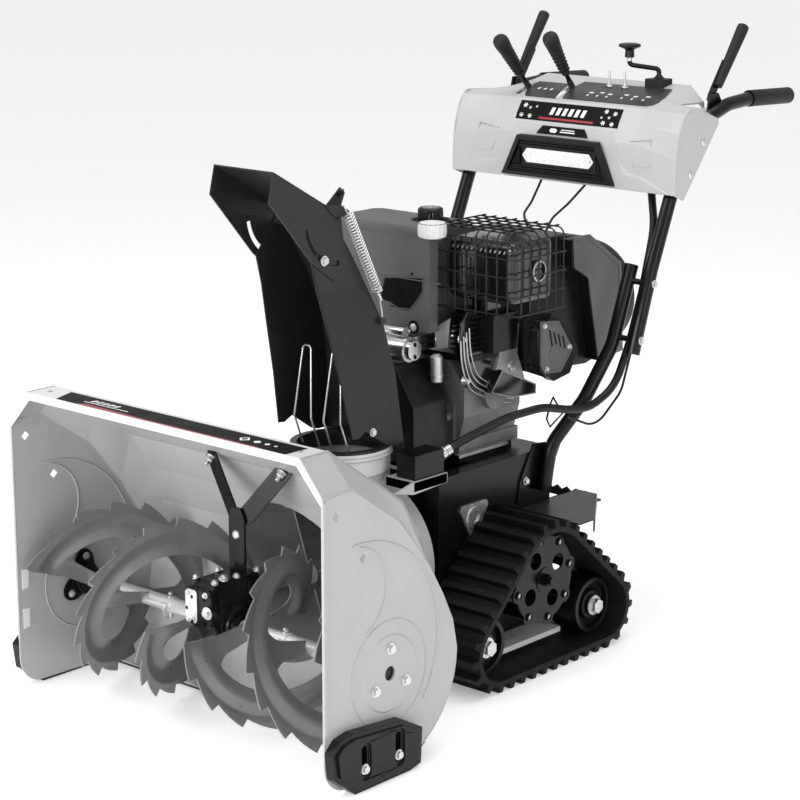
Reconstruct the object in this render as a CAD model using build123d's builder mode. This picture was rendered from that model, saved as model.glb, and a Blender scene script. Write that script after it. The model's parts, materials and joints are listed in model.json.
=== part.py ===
from build123d import *
import os
from math import acos, cos, hypot, pi, radians, sin, tan

os.makedirs("parts", exist_ok=True)

# Driving dimensions, millimetres. +Z is up, -Y is the front, X = 0 is the middle plane.
HOUSING_HALF = 400.0
PLATE = 3.0
SHEET = 2.5
AUGER_Y, AUGER_Z = -616.0, 184.5
AUGER_TIP = 171.0
RIBBON_INNER = 100.0
RIBBON_LEAD = 340.0
SHAFT_R = 10.0
RUNNING = 0.08
WORM_Z = 225.0
DRUM_R = 156.0
CHUTE_Y = -308.0
PIVOT_Y, PIVOT_Z = -392.0, 910.0
WHEEL_TEETH = 15
WHEEL_PITCH_R = 28.5
WORM_PITCH = 2 * pi * WHEEL_PITCH_R / WHEEL_TEETH
SPROCKET = (-29.0, 182.0)
IDLER_FRONT = (-187.0, 82.0)
IDLER_REAR = (149.0, 82.0)
BELT_IN, BELT_OUT = 152.0, 302.0
IDLER_R = 58.0
SPROCKET_R = 99.0
BELT_T = 10.0
LUG_H = 14.0
HANDLE_X = 262.0
TUBE_R = 14.0

HUB = (AUGER_Y, AUGER_Z)
FLANGE_BOLTS = [
    (AUGER_Y + 45 * cos(radians(a)), AUGER_Z + 45 * sin(radians(a))) for a in (90, 210, 330)
]


def inset(points, distances):
    """Move each side of a closed outline inwards by its own distance."""
    count = len(points)
    turn = sum(
        points[i][0] * points[(i + 1) % count][1] - points[(i + 1) % count][0] * points[i][1]
        for i in range(count)
    )
    side = 1 if turn > 0 else -1
    lines = []
    for i in range(count):
        (x0, y0), (x1, y1) = points[i], points[(i + 1) % count]
        dx, dy = x1 - x0, y1 - y0
        shift = side * distances[i] / hypot(dx, dy)
        lines.append((x0 - dy * shift, y0 + dx * shift, dx, dy))
    moved = []
    for i in range(count):
        ax, ay, adx, ady = lines[i - 1]
        bx, by, bdx, bdy = lines[i]
        along = ((bx - ax) * bdy - (by - ay) * bdx) / (adx * bdy - ady * bdx)
        moved.append((ax + adx * along, ay + ady * along))
    return moved


def arc_points(centre, radius, first, last, steps):
    """Points on an arc, angles in degrees from +Y towards +Z."""
    angles = [first + (last - first) * i / steps for i in range(steps + 1)]
    return [
        (centre[0] + radius * cos(radians(a)), centre[1] + radius * sin(radians(a)))
        for a in angles
    ]


def outline(plane, points):
    """A flat sketch from a closed outline."""
    with BuildSketch(plane) as flat:
        with BuildLine():
            Polyline(*points, close=True)
        make_face()
    return flat.sketch


def slab(points, low, high, mode=Mode.ADD):
    """Extrude a (Y, Z) outline along X."""
    extrude(outline(Plane.YZ.offset(low), points), amount=high - low, mode=mode)


def panel(points, near, far, mode=Mode.ADD):
    """Extrude an (X, Z) outline along Y."""
    extrude(outline(Plane.XZ.offset(-near), points), amount=near - far, mode=mode)


def layer(points, low, high, mode=Mode.ADD):
    """Extrude an (X, Y) outline along Z."""
    extrude(outline(Plane.XY.offset(low), points), amount=high - low, mode=mode)


def block(low, high, mode=Mode.ADD):
    """A box between two corners."""
    corners = [(low[1], low[2]), (high[1], low[2]), (high[1], high[2]), (low[1], high[2])]
    slab(corners, low[0], high[0], mode)


def skin(sections, mode=Mode.ADD):
    """A ruled body through (Y, Z) outlines at several X."""
    loft([outline(Plane.YZ.offset(x), points) for x, points in sections], ruled=True, mode=mode)


def rod(start, end, radius, mode=Mode.ADD):
    """A round bar between two points."""
    a, b = Vector(*start), Vector(*end)
    with BuildSketch(Plane(origin=a, z_dir=b - a)) as section:
        Circle(radius)
    extrude(section.sketch, amount=(b - a).length, mode=mode)


def cone(start, end, first, last, mode=Mode.ADD):
    """A tapered bar between two points."""
    a, b = Vector(*start), Vector(*end)
    with BuildSketch(Plane(origin=a, z_dir=b - a)) as lower:
        Circle(first)
    with BuildSketch(Plane(origin=b, z_dir=b - a)) as upper:
        Circle(last)
    loft([lower.sketch, upper.sketch], mode=mode)


def bend_radii(points, largest):
    """Corner radii that fit the straight runs of a route."""
    radii = []
    for i in range(1, len(points) - 1):
        a = Vector(*points[i]) - Vector(*points[i - 1])
        b = Vector(*points[i + 1]) - Vector(*points[i])
        turn = acos(max(-1.0, min(1.0, a.dot(b) / (a.length * b.length))))
        radii.append(min(largest, 0.45 * min(a.length, b.length) / tan(turn / 2)))
    return radii


def run(points, radius, largest=200.0, mode=Mode.ADD):
    """A round bar along a route of straight runs and tangent arcs."""
    with BuildLine() as path:
        FilletPolyline(*points, radius=bend_radii(points, largest))
    with BuildSketch(Plane(origin=path.line @ 0, z_dir=path.line % 0)) as section:
        Circle(radius)
    sweep(section.sketch, path=path.line, mode=mode)


def hex_bolt(foot, direction, size, height, washer=1.5):
    """A washer and a hexagon head standing on a face."""
    axis = Vector(*direction)
    base = Vector(*foot)
    with BuildSketch(Plane(origin=base, z_dir=axis)) as ring:
        Circle(size * 1.35)
    extrude(ring.sketch, amount=washer)
    with BuildSketch(Plane(origin=base, z_dir=axis)) as head:
        RegularPolygon(size, 6)
    extrude(head.sketch, amount=washer + height)


# Auger housing: a folded sheet with chamfered upper corners that close towards the back.
MIDDLE = [(-779, 590), (-712, 590), (-615, 524), (-526, 463), (-480, 390), (-445, 315)]
MIDDLE += [(-436, 184.5), (-779, 184.5)]
CORNER = [(-779, 532), (-708, 532), (-588, 450), (-512, 356), (-475, 295), (-447, 240)]
CORNER += [(-436, 184.5), (-779, 184.5)]
SIDE = [(-779, 532), (-708, 532), (-588, 450), (-512, 356), (-475, 295), (-447, 240)]
SIDE += arc_points(HUB, 180, 0, -90, 16)
SIDE += arc_points((-724, 60), 55, -100, -180, 8)
THIN = [SHEET] * 6 + [0, -30]
LIP_X = HOUSING_HALF - PLATE
FLOOR_END = -75
BACK_INNER = [(-720, 190), (-438.5, 190)] + arc_points(HUB, 177.5, 0, -90, 24) + [(-720, 7)]

with BuildPart() as housing_shell:
    slab(MIDDLE, -348, 348)
    for side in (-1, 1):
        skin([(side * 348, MIDDLE), (side * LIP_X, CORNER)])
    slab(arc_points(HUB, 180, 0, FLOOR_END, 24) + [HUB], -LIP_X, LIP_X)
    slab(inset(MIDDLE, THIN), -348, 348, Mode.SUBTRACT)
    for side in (-1, 1):
        inner = [(side * 348, inset(MIDDLE, THIN)), (side * LIP_X, inset(CORNER, THIN))]
        skin(inner, Mode.SUBTRACT)
    slab(BACK_INNER, -LIP_X, LIP_X, Mode.SUBTRACT)
    with BuildSketch(Plane.XZ.offset(779)) as lip:
        with BuildLine():
            Polyline((-397, 532), (-348, 590), (348, 590), (397, 532), (397, 516), close=False)
            Polyline((397, 516), (341, 576), (-341, 576), (-397, 516), (-397, 532))
        make_face()
    extrude(amount=-2)
    with BuildSketch(Plane.XZ.offset(560)):
        with Locations((0, WORM_Z)):
            Circle(DRUM_R - SHEET)
    extrude(amount=-200, mode=Mode.SUBTRACT)

with BuildPart() as side_plate_left:
    slab(SIDE, LIP_X, HOUSING_HALF)
    with BuildSketch(Plane.YZ.offset(HOUSING_HALF)):
        with Locations(HUB):
            Circle(70)
    extrude(amount=2.5, taper=45)
    with BuildSketch(Plane.YZ.offset(HOUSING_HALF - PLATE - 1)):
        with Locations(HUB):
            Circle(SHAFT_R + 3)
    extrude(amount=10, mode=Mode.SUBTRACT)
    block((HOUSING_HALF, -779, 114), (HOUSING_HALF + 2, -770, 524))
    with BuildSketch(Plane.YZ.offset(HOUSING_HALF - PLATE - 1)):
        with Locations((-746, 493), (-681, 406)):
            Rectangle(13, 13, rotation=45)
    extrude(amount=6, mode=Mode.SUBTRACT)

with BuildPart() as side_plate_right:
    add(mirror(side_plate_left.part, about=Plane.YZ, mode=Mode.PRIVATE))

with BuildPart() as scraper_bar:
    strip = arc_points(HUB, 180.3, -58, FLOOR_END, 8) + arc_points(HUB, 185.5, FLOOR_END, -58, 8)
    slab(strip, -LIP_X, LIP_X)

# Impeller drum with its discharge neck.
with BuildPart() as fan_housing:
    with BuildSketch(Plane.XZ.offset(520)):
        with Locations((0, WORM_Z)):
            Circle(DRUM_R)
    extrude(amount=-305)
    with BuildSketch(Plane.XY.offset(300)):
        with Locations((0, CHUTE_Y)):
            Circle(93)
    extrude(amount=155)
    with BuildSketch(Plane.XY.offset(447)):
        with Locations((0, CHUTE_Y)):
            Circle(98)
    extrude(amount=8)
    with BuildSketch(Plane.XZ.offset(215)):
        with Locations((0, WORM_Z)):
            Circle(80)
    extrude(amount=-25)
    with BuildSketch(Plane.XZ.offset(530)):
        with Locations((0, WORM_Z)):
            Circle(DRUM_R - SHEET)
    extrude(amount=-312, mode=Mode.SUBTRACT)
    with BuildSketch(Plane.XY.offset(WORM_Z)):
        with Locations((0, CHUTE_Y)):
            Circle(90)
    extrude(amount=240, mode=Mode.SUBTRACT)
    slab(MIDDLE[2:6] + arc_points(HUB, 180, 0, FLOOR_END, 24) + [(-700, 9)], -200, 200, Mode.SUBTRACT)
    rod((0, -230, WORM_Z), (0, -180, WORM_Z), SHAFT_R + RUNNING, Mode.SUBTRACT)

SHOE = [(-780, 87), (-759, 106), (-727, 112), (-603, 101), (-551, 72), (-555, 6), (-584, 0)]
SHOE += [(-724, 0), (-773, 38)]
with BuildPart() as skid_shoes:
    for side in (-1, 1):
        slab(SHOE, side * HOUSING_HALF, side * (HOUSING_HALF + 20))
        slab(inset(SHOE, [9] * 9), side * (HOUSING_HALF + 20), side * (HOUSING_HALF + 25))
    with BuildSketch(Plane.YZ.offset(-440)):
        with Locations((-701, 55), (-615, 55)):
            SlotOverall(54, 13, rotation=90)
    extrude(amount=880, mode=Mode.SUBTRACT)
    for side in (-1, 1):
        with BuildSketch(Plane.YZ.offset(side * (HOUSING_HALF + 20))) as pocket:
            with Locations((-701, 55), (-615, 55)):
                SlotOverall(68, 24, rotation=90)
        extrude(pocket.sketch, amount=side * 10, mode=Mode.SUBTRACT)

with BuildPart() as housing_bolts:
    for side in (-1, 1):
        for y, z in FLANGE_BOLTS:
            hex_bolt((side * (HOUSING_HALF + 2.5), y, z), (side, 0, 0), 7.5, 6)
        for y in (-701, -615):
            rod((side * (HOUSING_HALF + 1), y, 40), (side * (HOUSING_HALF + 20), y, 40), 5)
            hex_bolt((side * (HOUSING_HALF + 20), y, 40), (side, 0, 0), 7, 5)
    for x in (-320, -190, 190, 320):
        hex_bolt((x, -747, 590), (0, 0, 1), 3.5, 2, 0.5)

with BuildPart() as auger_bearings:
    for side in (-1, 1):
        with BuildSketch(Plane.YZ.offset(side * LIP_X)) as flange:
            with Locations(HUB):
                Circle(33)
            with Locations(*FLANGE_BOLTS):
                Circle(12)
            for y, z in FLANGE_BOLTS:
                with BuildLine():
                    toward = Vector(y - AUGER_Y, z - AUGER_Z).normalized()
                    across = Vector(-toward.Y, toward.X)
                    hub = Vector(*HUB)
                    tip = Vector(y, z)
                    Polyline(hub - across * 28, tip - across * 11, tip + across * 11,
                             hub + across * 28, close=True)
                make_face()
        extrude(flange.sketch, amount=-side * 5)
        rod((side * LIP_X, *HUB), (side * (LIP_X - 16), *HUB), 27)
        rod((side * (LIP_X + 1), *HUB), (side * (LIP_X - 20), *HUB), SHAFT_R + RUNNING, Mode.SUBTRACT)

# Worm gearbox under the brace.
with BuildPart() as gearbox_case:
    rod((0, -672, WORM_Z), (0, -552, WORM_Z), 27)
    rod((-20, *HUB), (20, *HUB), 46)
    block((-20, -655, 190), (20, -577, 246))
    rod((-38, *HUB), (38, *HUB), 22)
    rod((0, -686, WORM_Z), (0, -672, WORM_Z), 34)
    for turn in range(6):
        x = 27 * cos(radians(60 * turn))
        z = WORM_Z + 27 * sin(radians(60 * turn))
        hex_bolt((x, -686, z), (0, -1, 0), 4, 3, 0.8)
    block((-22, -612, 236), (22, -588, 268))
    rod((-13, *HUB), (13, *HUB), 36, Mode.SUBTRACT)
    rod((0, -650, WORM_Z), (0, -582, WORM_Z), 18, Mode.SUBTRACT)
    rod((0, -676, WORM_Z), (0, -650, WORM_Z), 7 + RUNNING, Mode.SUBTRACT)
    rod((0, -585, WORM_Z), (0, -540, WORM_Z), SHAFT_R + RUNNING, Mode.SUBTRACT)
    rod((-50, *HUB), (50, *HUB), SHAFT_R + RUNNING, Mode.SUBTRACT)

with BuildPart() as gearbox_brace:
    panel([(-20, 253), (20, 253), (20, 385), (8, 402), (-8, 402), (-20, 385)], -588, -582)
    for side in (-1, 1):
        foot = Vector(side * 85, -531, 457)
        head = Vector(side * 6, -585, 388)
        with BuildSketch(Plane(origin=head, z_dir=foot - head, x_dir=(1, 0, 0))) as strap:
            Rectangle(34, 5)
        extrude(strap.sketch, amount=(foot - head).length)
    with BuildSketch(Plane.YZ.offset(-140)) as flat:
        with BuildLine():
            Polyline((-570, 487), (-500, 436), (-480, 470), (-560, 530), close=True)
        make_face()
    extrude(flat.sketch, amount=280, mode=Mode.SUBTRACT)

# Auger shaft with worm wheel, ribbons and shear pins.
with BuildPart() as auger_shaft:
    rod((-394, *HUB), (394, *HUB), SHAFT_R)
    rod((-6, *HUB), (6, *HUB), 24)
    with BuildSketch(Plane.YZ.offset(-6)):
        with Locations(Location((AUGER_Y, AUGER_Z))):
            with PolarLocations(28, WHEEL_TEETH):
                Rectangle(9.5, 3.6)
    extrude(amount=12)


def ribbon(start_angle):
    """One helical flight, wound so that it carries snow from the end to the middle."""
    turn = 345
    length = RIBBON_LEAD * turn / 360
    middle = (RIBBON_INNER + AUGER_TIP) / 2
    with BuildPart() as flight:
        with BuildLine() as path:
            Helix(pitch=RIBBON_LEAD, height=length, radius=middle, lefthand=True)
        start = path.line @ 0
        with BuildSketch(Plane(origin=start, x_dir=(1, 0, 0), z_dir=path.line % 0)):
            Rectangle(AUGER_TIP - RIBBON_INNER, 3.5)
        sweep(path=path.line, is_frenet=True)
        for share in (0.01, 0.5, 0.99):
            angle = -360 * length * share / RIBBON_LEAD
            with Locations(Location((0, 0, length * share), (0, 0, angle))):
                Box(RIBBON_INNER + 6, 34, 4, align=(Align.MIN, Align.CENTER, Align.CENTER))
    return flight.part.rotate(Axis.Z, start_angle).moved(Location((0, 0, 50)))


with BuildPart() as auger_right:
    for first in (94, 274):
        add(ribbon(first).rotate(Axis.Y, -90).moved(Location((0, *HUB))))
    rod((-376, *HUB), (-45, *HUB), 14)
    rod((-380, *HUB), (-40, *HUB), SHAFT_R + 0.1, Mode.SUBTRACT)

with BuildPart() as auger_left:
    add(mirror(auger_right.part, about=Plane.YZ, mode=Mode.PRIVATE))

with BuildPart() as shear_pins:
    for side in (-1, 1):
        rod((side * 150, AUGER_Y, AUGER_Z + 14), (side * 150, AUGER_Y, AUGER_Z + 24), 4)
        rod((side * 150, AUGER_Y, AUGER_Z - 24), (side * 150, AUGER_Y, AUGER_Z - 14), 4)
        rod((side * 150, AUGER_Y, AUGER_Z + 14), (side * 150, AUGER_Y, AUGER_Z + 17), 7)

# Impeller shaft with its worm and pulley.
with BuildPart() as worm_thread:
    with BuildLine() as worm_path:
        Helix(pitch=WORM_PITCH, height=4 * WORM_PITCH, radius=11)
    with BuildSketch(Plane(origin=worm_path.line @ 0, x_dir=(1, 0, 0), z_dir=worm_path.line % 0)):
        Rectangle(9, 2.6)
    sweep(path=worm_path.line, is_frenet=True)

with BuildPart() as impeller_shaft:
    rod((0, -674, WORM_Z), (0, -580, WORM_Z), 7)
    rod((0, -580, WORM_Z), (0, -132, WORM_Z), SHAFT_R)
    with BuildSketch(Plane.XZ.offset(162)) as pulley:
        with Locations((0, WORM_Z)):
            Circle(60)
    extrude(pulley.sketch, amount=-24)
    with BuildSketch(Plane.YZ) as groove:
        with BuildLine():
            Polyline((-157, WORM_Z + 64), (-151.5, WORM_Z + 46), (-148.5, WORM_Z + 46),
                     (-143, WORM_Z + 64), close=True)
        make_face()
    turning = Axis((0, 0, WORM_Z), (0, 1, 0))
    revolve(groove.sketch, axis=turning, mode=Mode.SUBTRACT)
    add(worm_thread.part.moved(Location((0, 0, -2 * WORM_PITCH))).rotate(Axis.X, -90)
        .moved(Location((0, AUGER_Y, WORM_Z))))

with BuildPart() as impeller:
    rod((0, -400, WORM_Z), (0, -250, WORM_Z), 24)
    for turn in range(4):
        with BuildSketch(Plane.XZ.offset(395)) as blade:
            with Locations(Location((0, WORM_Z), (0, 0, 1), 90 * turn + 20)):
                with Locations((84, 0)):
                    Rectangle(132, 4)
                with Locations((138, 10)):
                    Rectangle(18, 24)
        extrude(blade.sketch, amount=-140)
    rod((0, -402, WORM_Z), (0, -248, WORM_Z), SHAFT_R + 0.05, Mode.SUBTRACT)
    ring_cut = DRUM_R - SHEET - 3.5
    with BuildSketch(Plane.XZ.offset(410)) as limit:
        with Locations((0, WORM_Z)):
            Circle(ring_cut)
    extrude(limit.sketch, amount=-180, mode=Mode.INTERSECT)

# Chute: a leaning channel, open to the front, on a turning ring.
CHUTE_LEVELS = [
    (466, -372, -240, 100),
    (605, -400, -252, 88),
    (705, -425, -277, 79.5),
    (780, -444, -316, 71.9),
    (836, -458, -350, 71.5),
    (905, -476, -396, 71),
]


def channel(levels, wall, mode):
    """A ruled channel through rectangles at several heights."""
    sections = []
    for z, front, back, half in levels:
        near, far, width = front - 12 * wall, back - wall, half - wall
        corners = [(-width, near), (width, near), (width, far), (-width, far)]
        sections.append(outline(Plane.XY.offset(z), corners))
    loft(sections, ruled=True, mode=mode)


with BuildPart() as chute:
    channel(CHUTE_LEVELS, 0, Mode.ADD)
    hollow = [(460, -371, -239.5, 100.5)] + CHUTE_LEVELS[1:-1] + [(910, -477.3, -399.3, 71)]
    channel(hollow, SHEET, Mode.SUBTRACT)
    slab([(-500, 836), (-458, 836), (-402, 905), (-402, 930), (-500, 930)], -90, 90, Mode.SUBTRACT)
    slab([(-420, 440), (-420, 504), (-363, 498), (-343, 508), (-288, 472), (-262, 464), (-262, 440)],
         -120, 120, Mode.SUBTRACT)
    with BuildSketch(Plane.XY.offset(464)):
        with Locations((0, CHUTE_Y)):
            Circle(97)
    extrude(amount=3)
    with BuildSketch(Plane.XY.offset(455.4)):
        with Locations((0, CHUTE_Y)):
            Circle(97)
            Circle(84, mode=Mode.SUBTRACT)
    extrude(amount=5)
    with BuildSketch(Plane.XY.offset(436)):
        with Locations((0, CHUTE_Y)):
            Circle(87)
    extrude(amount=30)
    with BuildSketch(Plane.XY.offset(430)):
        with Locations((0, CHUTE_Y)):
            Circle(84)
    extrude(amount=34, mode=Mode.SUBTRACT)
    with BuildSketch(Plane.XY.offset(460)):
        with Locations((0, CHUTE_Y)):
            Circle(84)
        with Locations((0, -190)):
            Rectangle(220, 110, mode=Mode.SUBTRACT)
    extrude(amount=12, mode=Mode.SUBTRACT)
    block((-101, -247, 456), (101, -240, 468))
    with BuildSketch(Plane.YZ.offset(-76)):
        with Locations((PIVOT_Y, PIVOT_Z)):
            Circle(9)
        with Locations((PIVOT_Y - 6, PIVOT_Z - 12)):
            Rectangle(14, 20)
    extrude(amount=152)
    block((-68.5, -410, 890), (68.5, -380, 922), Mode.SUBTRACT)
    for side in (-1, 1):
        block((side * 71.9, -430, 880), (side * 90, -370, 930), Mode.SUBTRACT)
    rod((-80, PIVOT_Y, PIVOT_Z), (80, PIVOT_Y, PIVOT_Z), 3)
    block((76, -291, 702), (88, -277, 712))

with BuildPart() as chute_fittings:
    for side in (-1, 1):
        rod((side * 71.6, -430, 839), (side * 76, -430, 839), 4)
        hex_bolt((side * 76, -430, 839), (side, 0, 0), 7, 5)
    hex_bolt((97.0, -325, 503), (1, 0, 0.08), 6, 4)
    for side in (-1, 1):
        x = side * 38
        run([(x - 22, -350, 462), (x - 22, -372, 520), (x - 10, -358, 655), (x + 10, -358, 655),
             (x + 22, -372, 520), (x + 22, -350, 462)], 2, 8)

DEFLECTOR = [(-555, 1013), (-426, 941), (-385, 926), (-372, 825), (-372, 803), (-399, 795)]
DEFLECTOR += [(-461, 838), (-568, 960)]
with BuildPart() as deflector:
    for side in (-1, 1):
        slab(DEFLECTOR, side * 72.5, side * 75)
    slab([(-555, 1013), (-426, 941), (-412, 926), (-414.2, 924.6), (-427.6, 939), (-555.8, 1010.6)],
         -72.5, 72.5)
    slot = arc_points((PIVOT_Y, PIVOT_Z), 85.7, 187, 272, 20)
    slot += arc_points((PIVOT_Y, PIVOT_Z), 75.7, 272, 187, 20)
    slab(slot, -80, 80, Mode.SUBTRACT)
    rod((-80, PIVOT_Y, PIVOT_Z), (80, PIVOT_Y, PIVOT_Z), 3 + RUNNING, Mode.SUBTRACT)
    slab([(-426, 938), (-388, 968), (-376, 957), (-386, 935), (-364, 922), (-368, 912), (-404, 916)],
         75, 78)

with BuildPart() as deflector_spring:
    run([(80, -373, 917), (86, -371, 914), (86, -368, 906)], 1.4, 3)
    rod((86, -310.5, 815), (86, -284, 714), 1.6)

# Chute drive, flexible shaft and cables.
with BuildPart() as chute_drive_box:
    block((126, -290, 415), (172, -208, 462))
    block((108, -300, 398), (172, -205, 415))
    rod((149, -208, 440), (149, -190, 444), 9)

FLEX = [(149, -187, 444), (160, -140, 462), (205, -60, 500), (225, 22, 508), (232, 90, 492)]
FLEX += [(238, 155, 484), (240, 235, 512), (238, 285, 596), (238, 324, 695), (236, 362, 820)]
FLEX += [(160, 440, 960), (121, 520, 1040)]
with BuildPart() as flex_shaft:
    run(FLEX, 8, 120)

with BuildPart() as control_cables:
    run([(-60, 380, 896), (-42, 316, 846), (-20, 262, 830), (0, 250, 809)], 2.5, 60)
    run([(60, 380, 896), (52, 318, 852), (64, 250, 832), (70, 222, 809)], 2.5, 60)
    run([(232, 90, 478), (236, 180, 440), (241, 256, 500), (238, 304, 610)], 2.5, 60)

# Tracks: rubber loops around a drive sprocket and two idlers.


def loop(grow, near, far, mode=Mode.ADD):
    """A band outline around the three wheels, grown outwards and extruded along X."""
    with BuildSketch(Plane.YZ.offset(near)) as band:
        with Locations(IDLER_FRONT, IDLER_REAR):
            Circle(IDLER_R + grow)
        with Locations(SPROCKET):
            Circle(SPROCKET_R + grow)
        make_hull()
    extrude(band.sketch, amount=far - near, mode=mode)
    return band.sketch


LUGS = 36
with BuildPart() as track_left:
    rim = loop(BELT_T, BELT_IN, BELT_OUT)
    edge = rim.face().outer_wire()
    for i in range(LUGS):
        place = edge.location_at(i / LUGS)
        across = (edge @ (i / LUGS)) - Vector(BELT_IN, *SPROCKET)
        spot = Vector((BELT_IN + BELT_OUT) / 2, (edge @ (i / LUGS)).Y, (edge @ (i / LUGS)).Z)
        tangent = edge % (i / LUGS)
        outward = Vector(0, tangent.Z, -tangent.Y)
        if outward.dot(Vector(0, across.Y, across.Z)) < 0:
            outward = outward * -1
        with BuildSketch(Plane(origin=spot - outward * 2, x_dir=(1, 0, 0), z_dir=outward)) as foot:
            Rectangle(BELT_OUT - BELT_IN, 17)
        with BuildSketch(
            Plane(origin=spot + outward * LUG_H, x_dir=(1, 0, 0), z_dir=outward)
        ) as crown:
            Rectangle(BELT_OUT - BELT_IN - 6, 11)
        loft([foot.sketch, crown.sketch])
    loop(0, BELT_IN - 1, BELT_OUT + 1, Mode.SUBTRACT)

with BuildPart() as track_right:
    add(mirror(track_left.part, about=Plane.YZ, mode=Mode.PRIVATE))

# Track frames: a plate inside each loop with idler axles and a low stiffening bar.
FRAME = [(-222, 84), (-200, 52), (-150, 40), (120, 40), (178, 60), (188, 88), (170, 116)]
FRAME += [(40, 214), (-29, 250), (-95, 220)]
with BuildPart() as track_frames:
    for side in (-1, 1):
        slab(FRAME, side * 160, side * 166)
        for y, z in (IDLER_FRONT, IDLER_REAR):
            rod((side * 162, y, z), (side * 262.6, y, z), 9)
            rod((side * 162, y, z), (side * 186, y, z), 16)
        rod((side * 145, *SPROCKET), (side * 172, *SPROCKET), 26)
        slab([(-126, 34), (88, 34), (88, 44), (-126, 44)], side * 160, side * 226)
        rod((side * 140, *SPROCKET), (side * 180, *SPROCKET), 12 + RUNNING, Mode.SUBTRACT)


def build_sprocket(side):
    """Drive sprocket: two lobed discs joined by eight cross tubes."""
    with BuildPart() as drum:
        for near, far in ((178, 182), (272, 276)):
            with BuildSketch(Plane.YZ.offset(side * near)) as disc:
                with Locations(SPROCKET):
                    Circle(86)
                    with PolarLocations(80, 8, start_angle=10):
                        Circle(16)
                    with PolarLocations(50, 4, start_angle=32):
                        Circle(17, mode=Mode.SUBTRACT)
            extrude(disc.sketch, amount=side * (far - near))
        with BuildSketch(Plane.YZ.offset(side * 178)) as tubes:
            with Locations(SPROCKET):
                with PolarLocations(80, 8, start_angle=10):
                    Circle(8)
        extrude(tubes.sketch, amount=side * 102)
        rod((side * 176, *SPROCKET), (side * 278, *SPROCKET), 24)
        rod((side * 105, *SPROCKET), (side * 290, *SPROCKET), 12)
        with BuildSketch(Plane.YZ.offset(side * 181.9)) as bores:
            with Locations(SPROCKET):
                with PolarLocations(80, 8, start_angle=10):
                    Circle(5.5)
        extrude(bores.sketch, amount=side * 110, mode=Mode.SUBTRACT)
        hex_bolt((side * 290, *SPROCKET), (side, 0, 0), 9, 6)
    return drum.part


def build_idler(side, centre):
    """Idler wheel: a dished wheel with a light hub cap."""
    with BuildPart() as wheel:
        rod((side * 194, *centre), (side * 262, *centre), IDLER_R - 0.6)
        rod((side * 246, *centre), (side * 263, *centre), 47, Mode.SUBTRACT)
        rod((side * 246, *centre), (side * 258, *centre), 30)
        rod((side * 193, *centre), (side * 210, *centre), 47, Mode.SUBTRACT)
        rod((side * 190, *centre), (side * 270, *centre), 9 + RUNNING, Mode.SUBTRACT)
    return wheel.part


with BuildPart() as sprocket_left:
    add(build_sprocket(1))
with BuildPart() as sprocket_right:
    add(build_sprocket(-1))
with BuildPart() as idler_front_left:
    add(build_idler(1, IDLER_FRONT))
with BuildPart() as idler_front_right:
    add(build_idler(-1, IDLER_FRONT))
with BuildPart() as idler_rear_left:
    add(build_idler(1, IDLER_REAR))
with BuildPart() as idler_rear_right:
    add(build_idler(-1, IDLER_REAR))

TEETH = [(x, 280 if i % 2 else 272) for i, x in enumerate(range(-186, 187, 12))]
with BuildPart() as track_guards:
    for side in (-1, 1):
        layer([(side * 147, 48), (side * 302, 48), (side * 302, 96), (side * 198, 241),
               (side * 147, 241)], 279, 282)
        layer([(side * 302, 96), (side * 198, 241), (side * 195, 238), (side * 299, 94)], 255, 282)
    panel(TEETH + [(186, 262), (-186, 262)], 246, 250)
    block((-186, 246, 258), (186, 272, 262))
    for side in (-1, 1):
        block((side * 100, 152, 258), (side * 130, 247, 262))

# Tractor body between the tracks.
with BuildPart() as tractor_body:
    block((-145, -190, 118), (145, 152, 392))
    block((-142, -187, 100), (142, 149, 389), Mode.SUBTRACT)
    block((-112, -170, 380), (112, -60, 400), Mode.SUBTRACT)
    rod((0, -195, WORM_Z), (0, -180, WORM_Z), 16, Mode.SUBTRACT)
    rod((-150, *SPROCKET), (150, *SPROCKET), 14, Mode.SUBTRACT)
    for side in (-1, 1):
        slab([(185, 397), (154, 344), (133, 286), (43, 292), (52, 338), (93, 408)],
             side * 145, side * 149)
    block((-100, -62, 392), (86, 100, 404))
    block((86.3, -78, 391), (100, 72, 408))
    block((-145, -190, 200), (-120, -186.5, 340))

with BuildPart() as side_bearings:
    for side in (-1, 1):
        with BuildSketch(Plane.YZ.offset(side * 145)) as flange:
            with Locations((-89, 296)):
                Circle(27)
            with Locations((-121, 316), (-57, 316), (-89, 258)):
                Circle(9)
            make_hull()
        extrude(flange.sketch, amount=side * 4)
        rod((side * 149, -89, 296), (side * 151.6, -89, 296), 21)
        rod((side * 148, -89, 296), (side * 152, -89, 296), 13, Mode.SUBTRACT)

# Engine.
with BuildPart() as belt_cover:
    roof = [(-110, 400), (70, 400), (70, 518), (20, 595), (-60, 595), (-110, 518)]
    panel(roof, -180, -80)
    panel(inset(roof, [-10, 3, 3, 3, 3, 3]), -177, -70, Mode.SUBTRACT)

with BuildPart() as engine_block:
    block((-70, -62, 404), (86, 120, 430))
    panel([(-62, 430), (84, 430), (98, 480), (98, 540), (60, 590), (-62, 590)], -62, 110)
    rod((-10, -62, 510), (-10, -130, 510), 10)
    rod((-10, -62, 510), (-10, -74, 510), 42)
    for x in (-54, -36, -18, 36, 54, 72):
        block((x, -66, 434), (x + 3, -60, 500))
    rod((60, -62, 478), (60, -78, 478), 9)
    rod((98, 20, 520), (112, 20, 520), 34)

with BuildPart() as engine_cylinder:
    slab([(-58, 592), (62, 592), (62, 604), (-58, 604)], -40, 110)
    slab([(-40, 604), (50, 604), (50, 690), (-40, 690)], 56, 104)
    for i in range(8):
        block((54, -56, 610 + 10 * i), (112, 64, 613.5 + 10 * i))
    block((100, -30, 610), (144, 44, 684))

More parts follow.
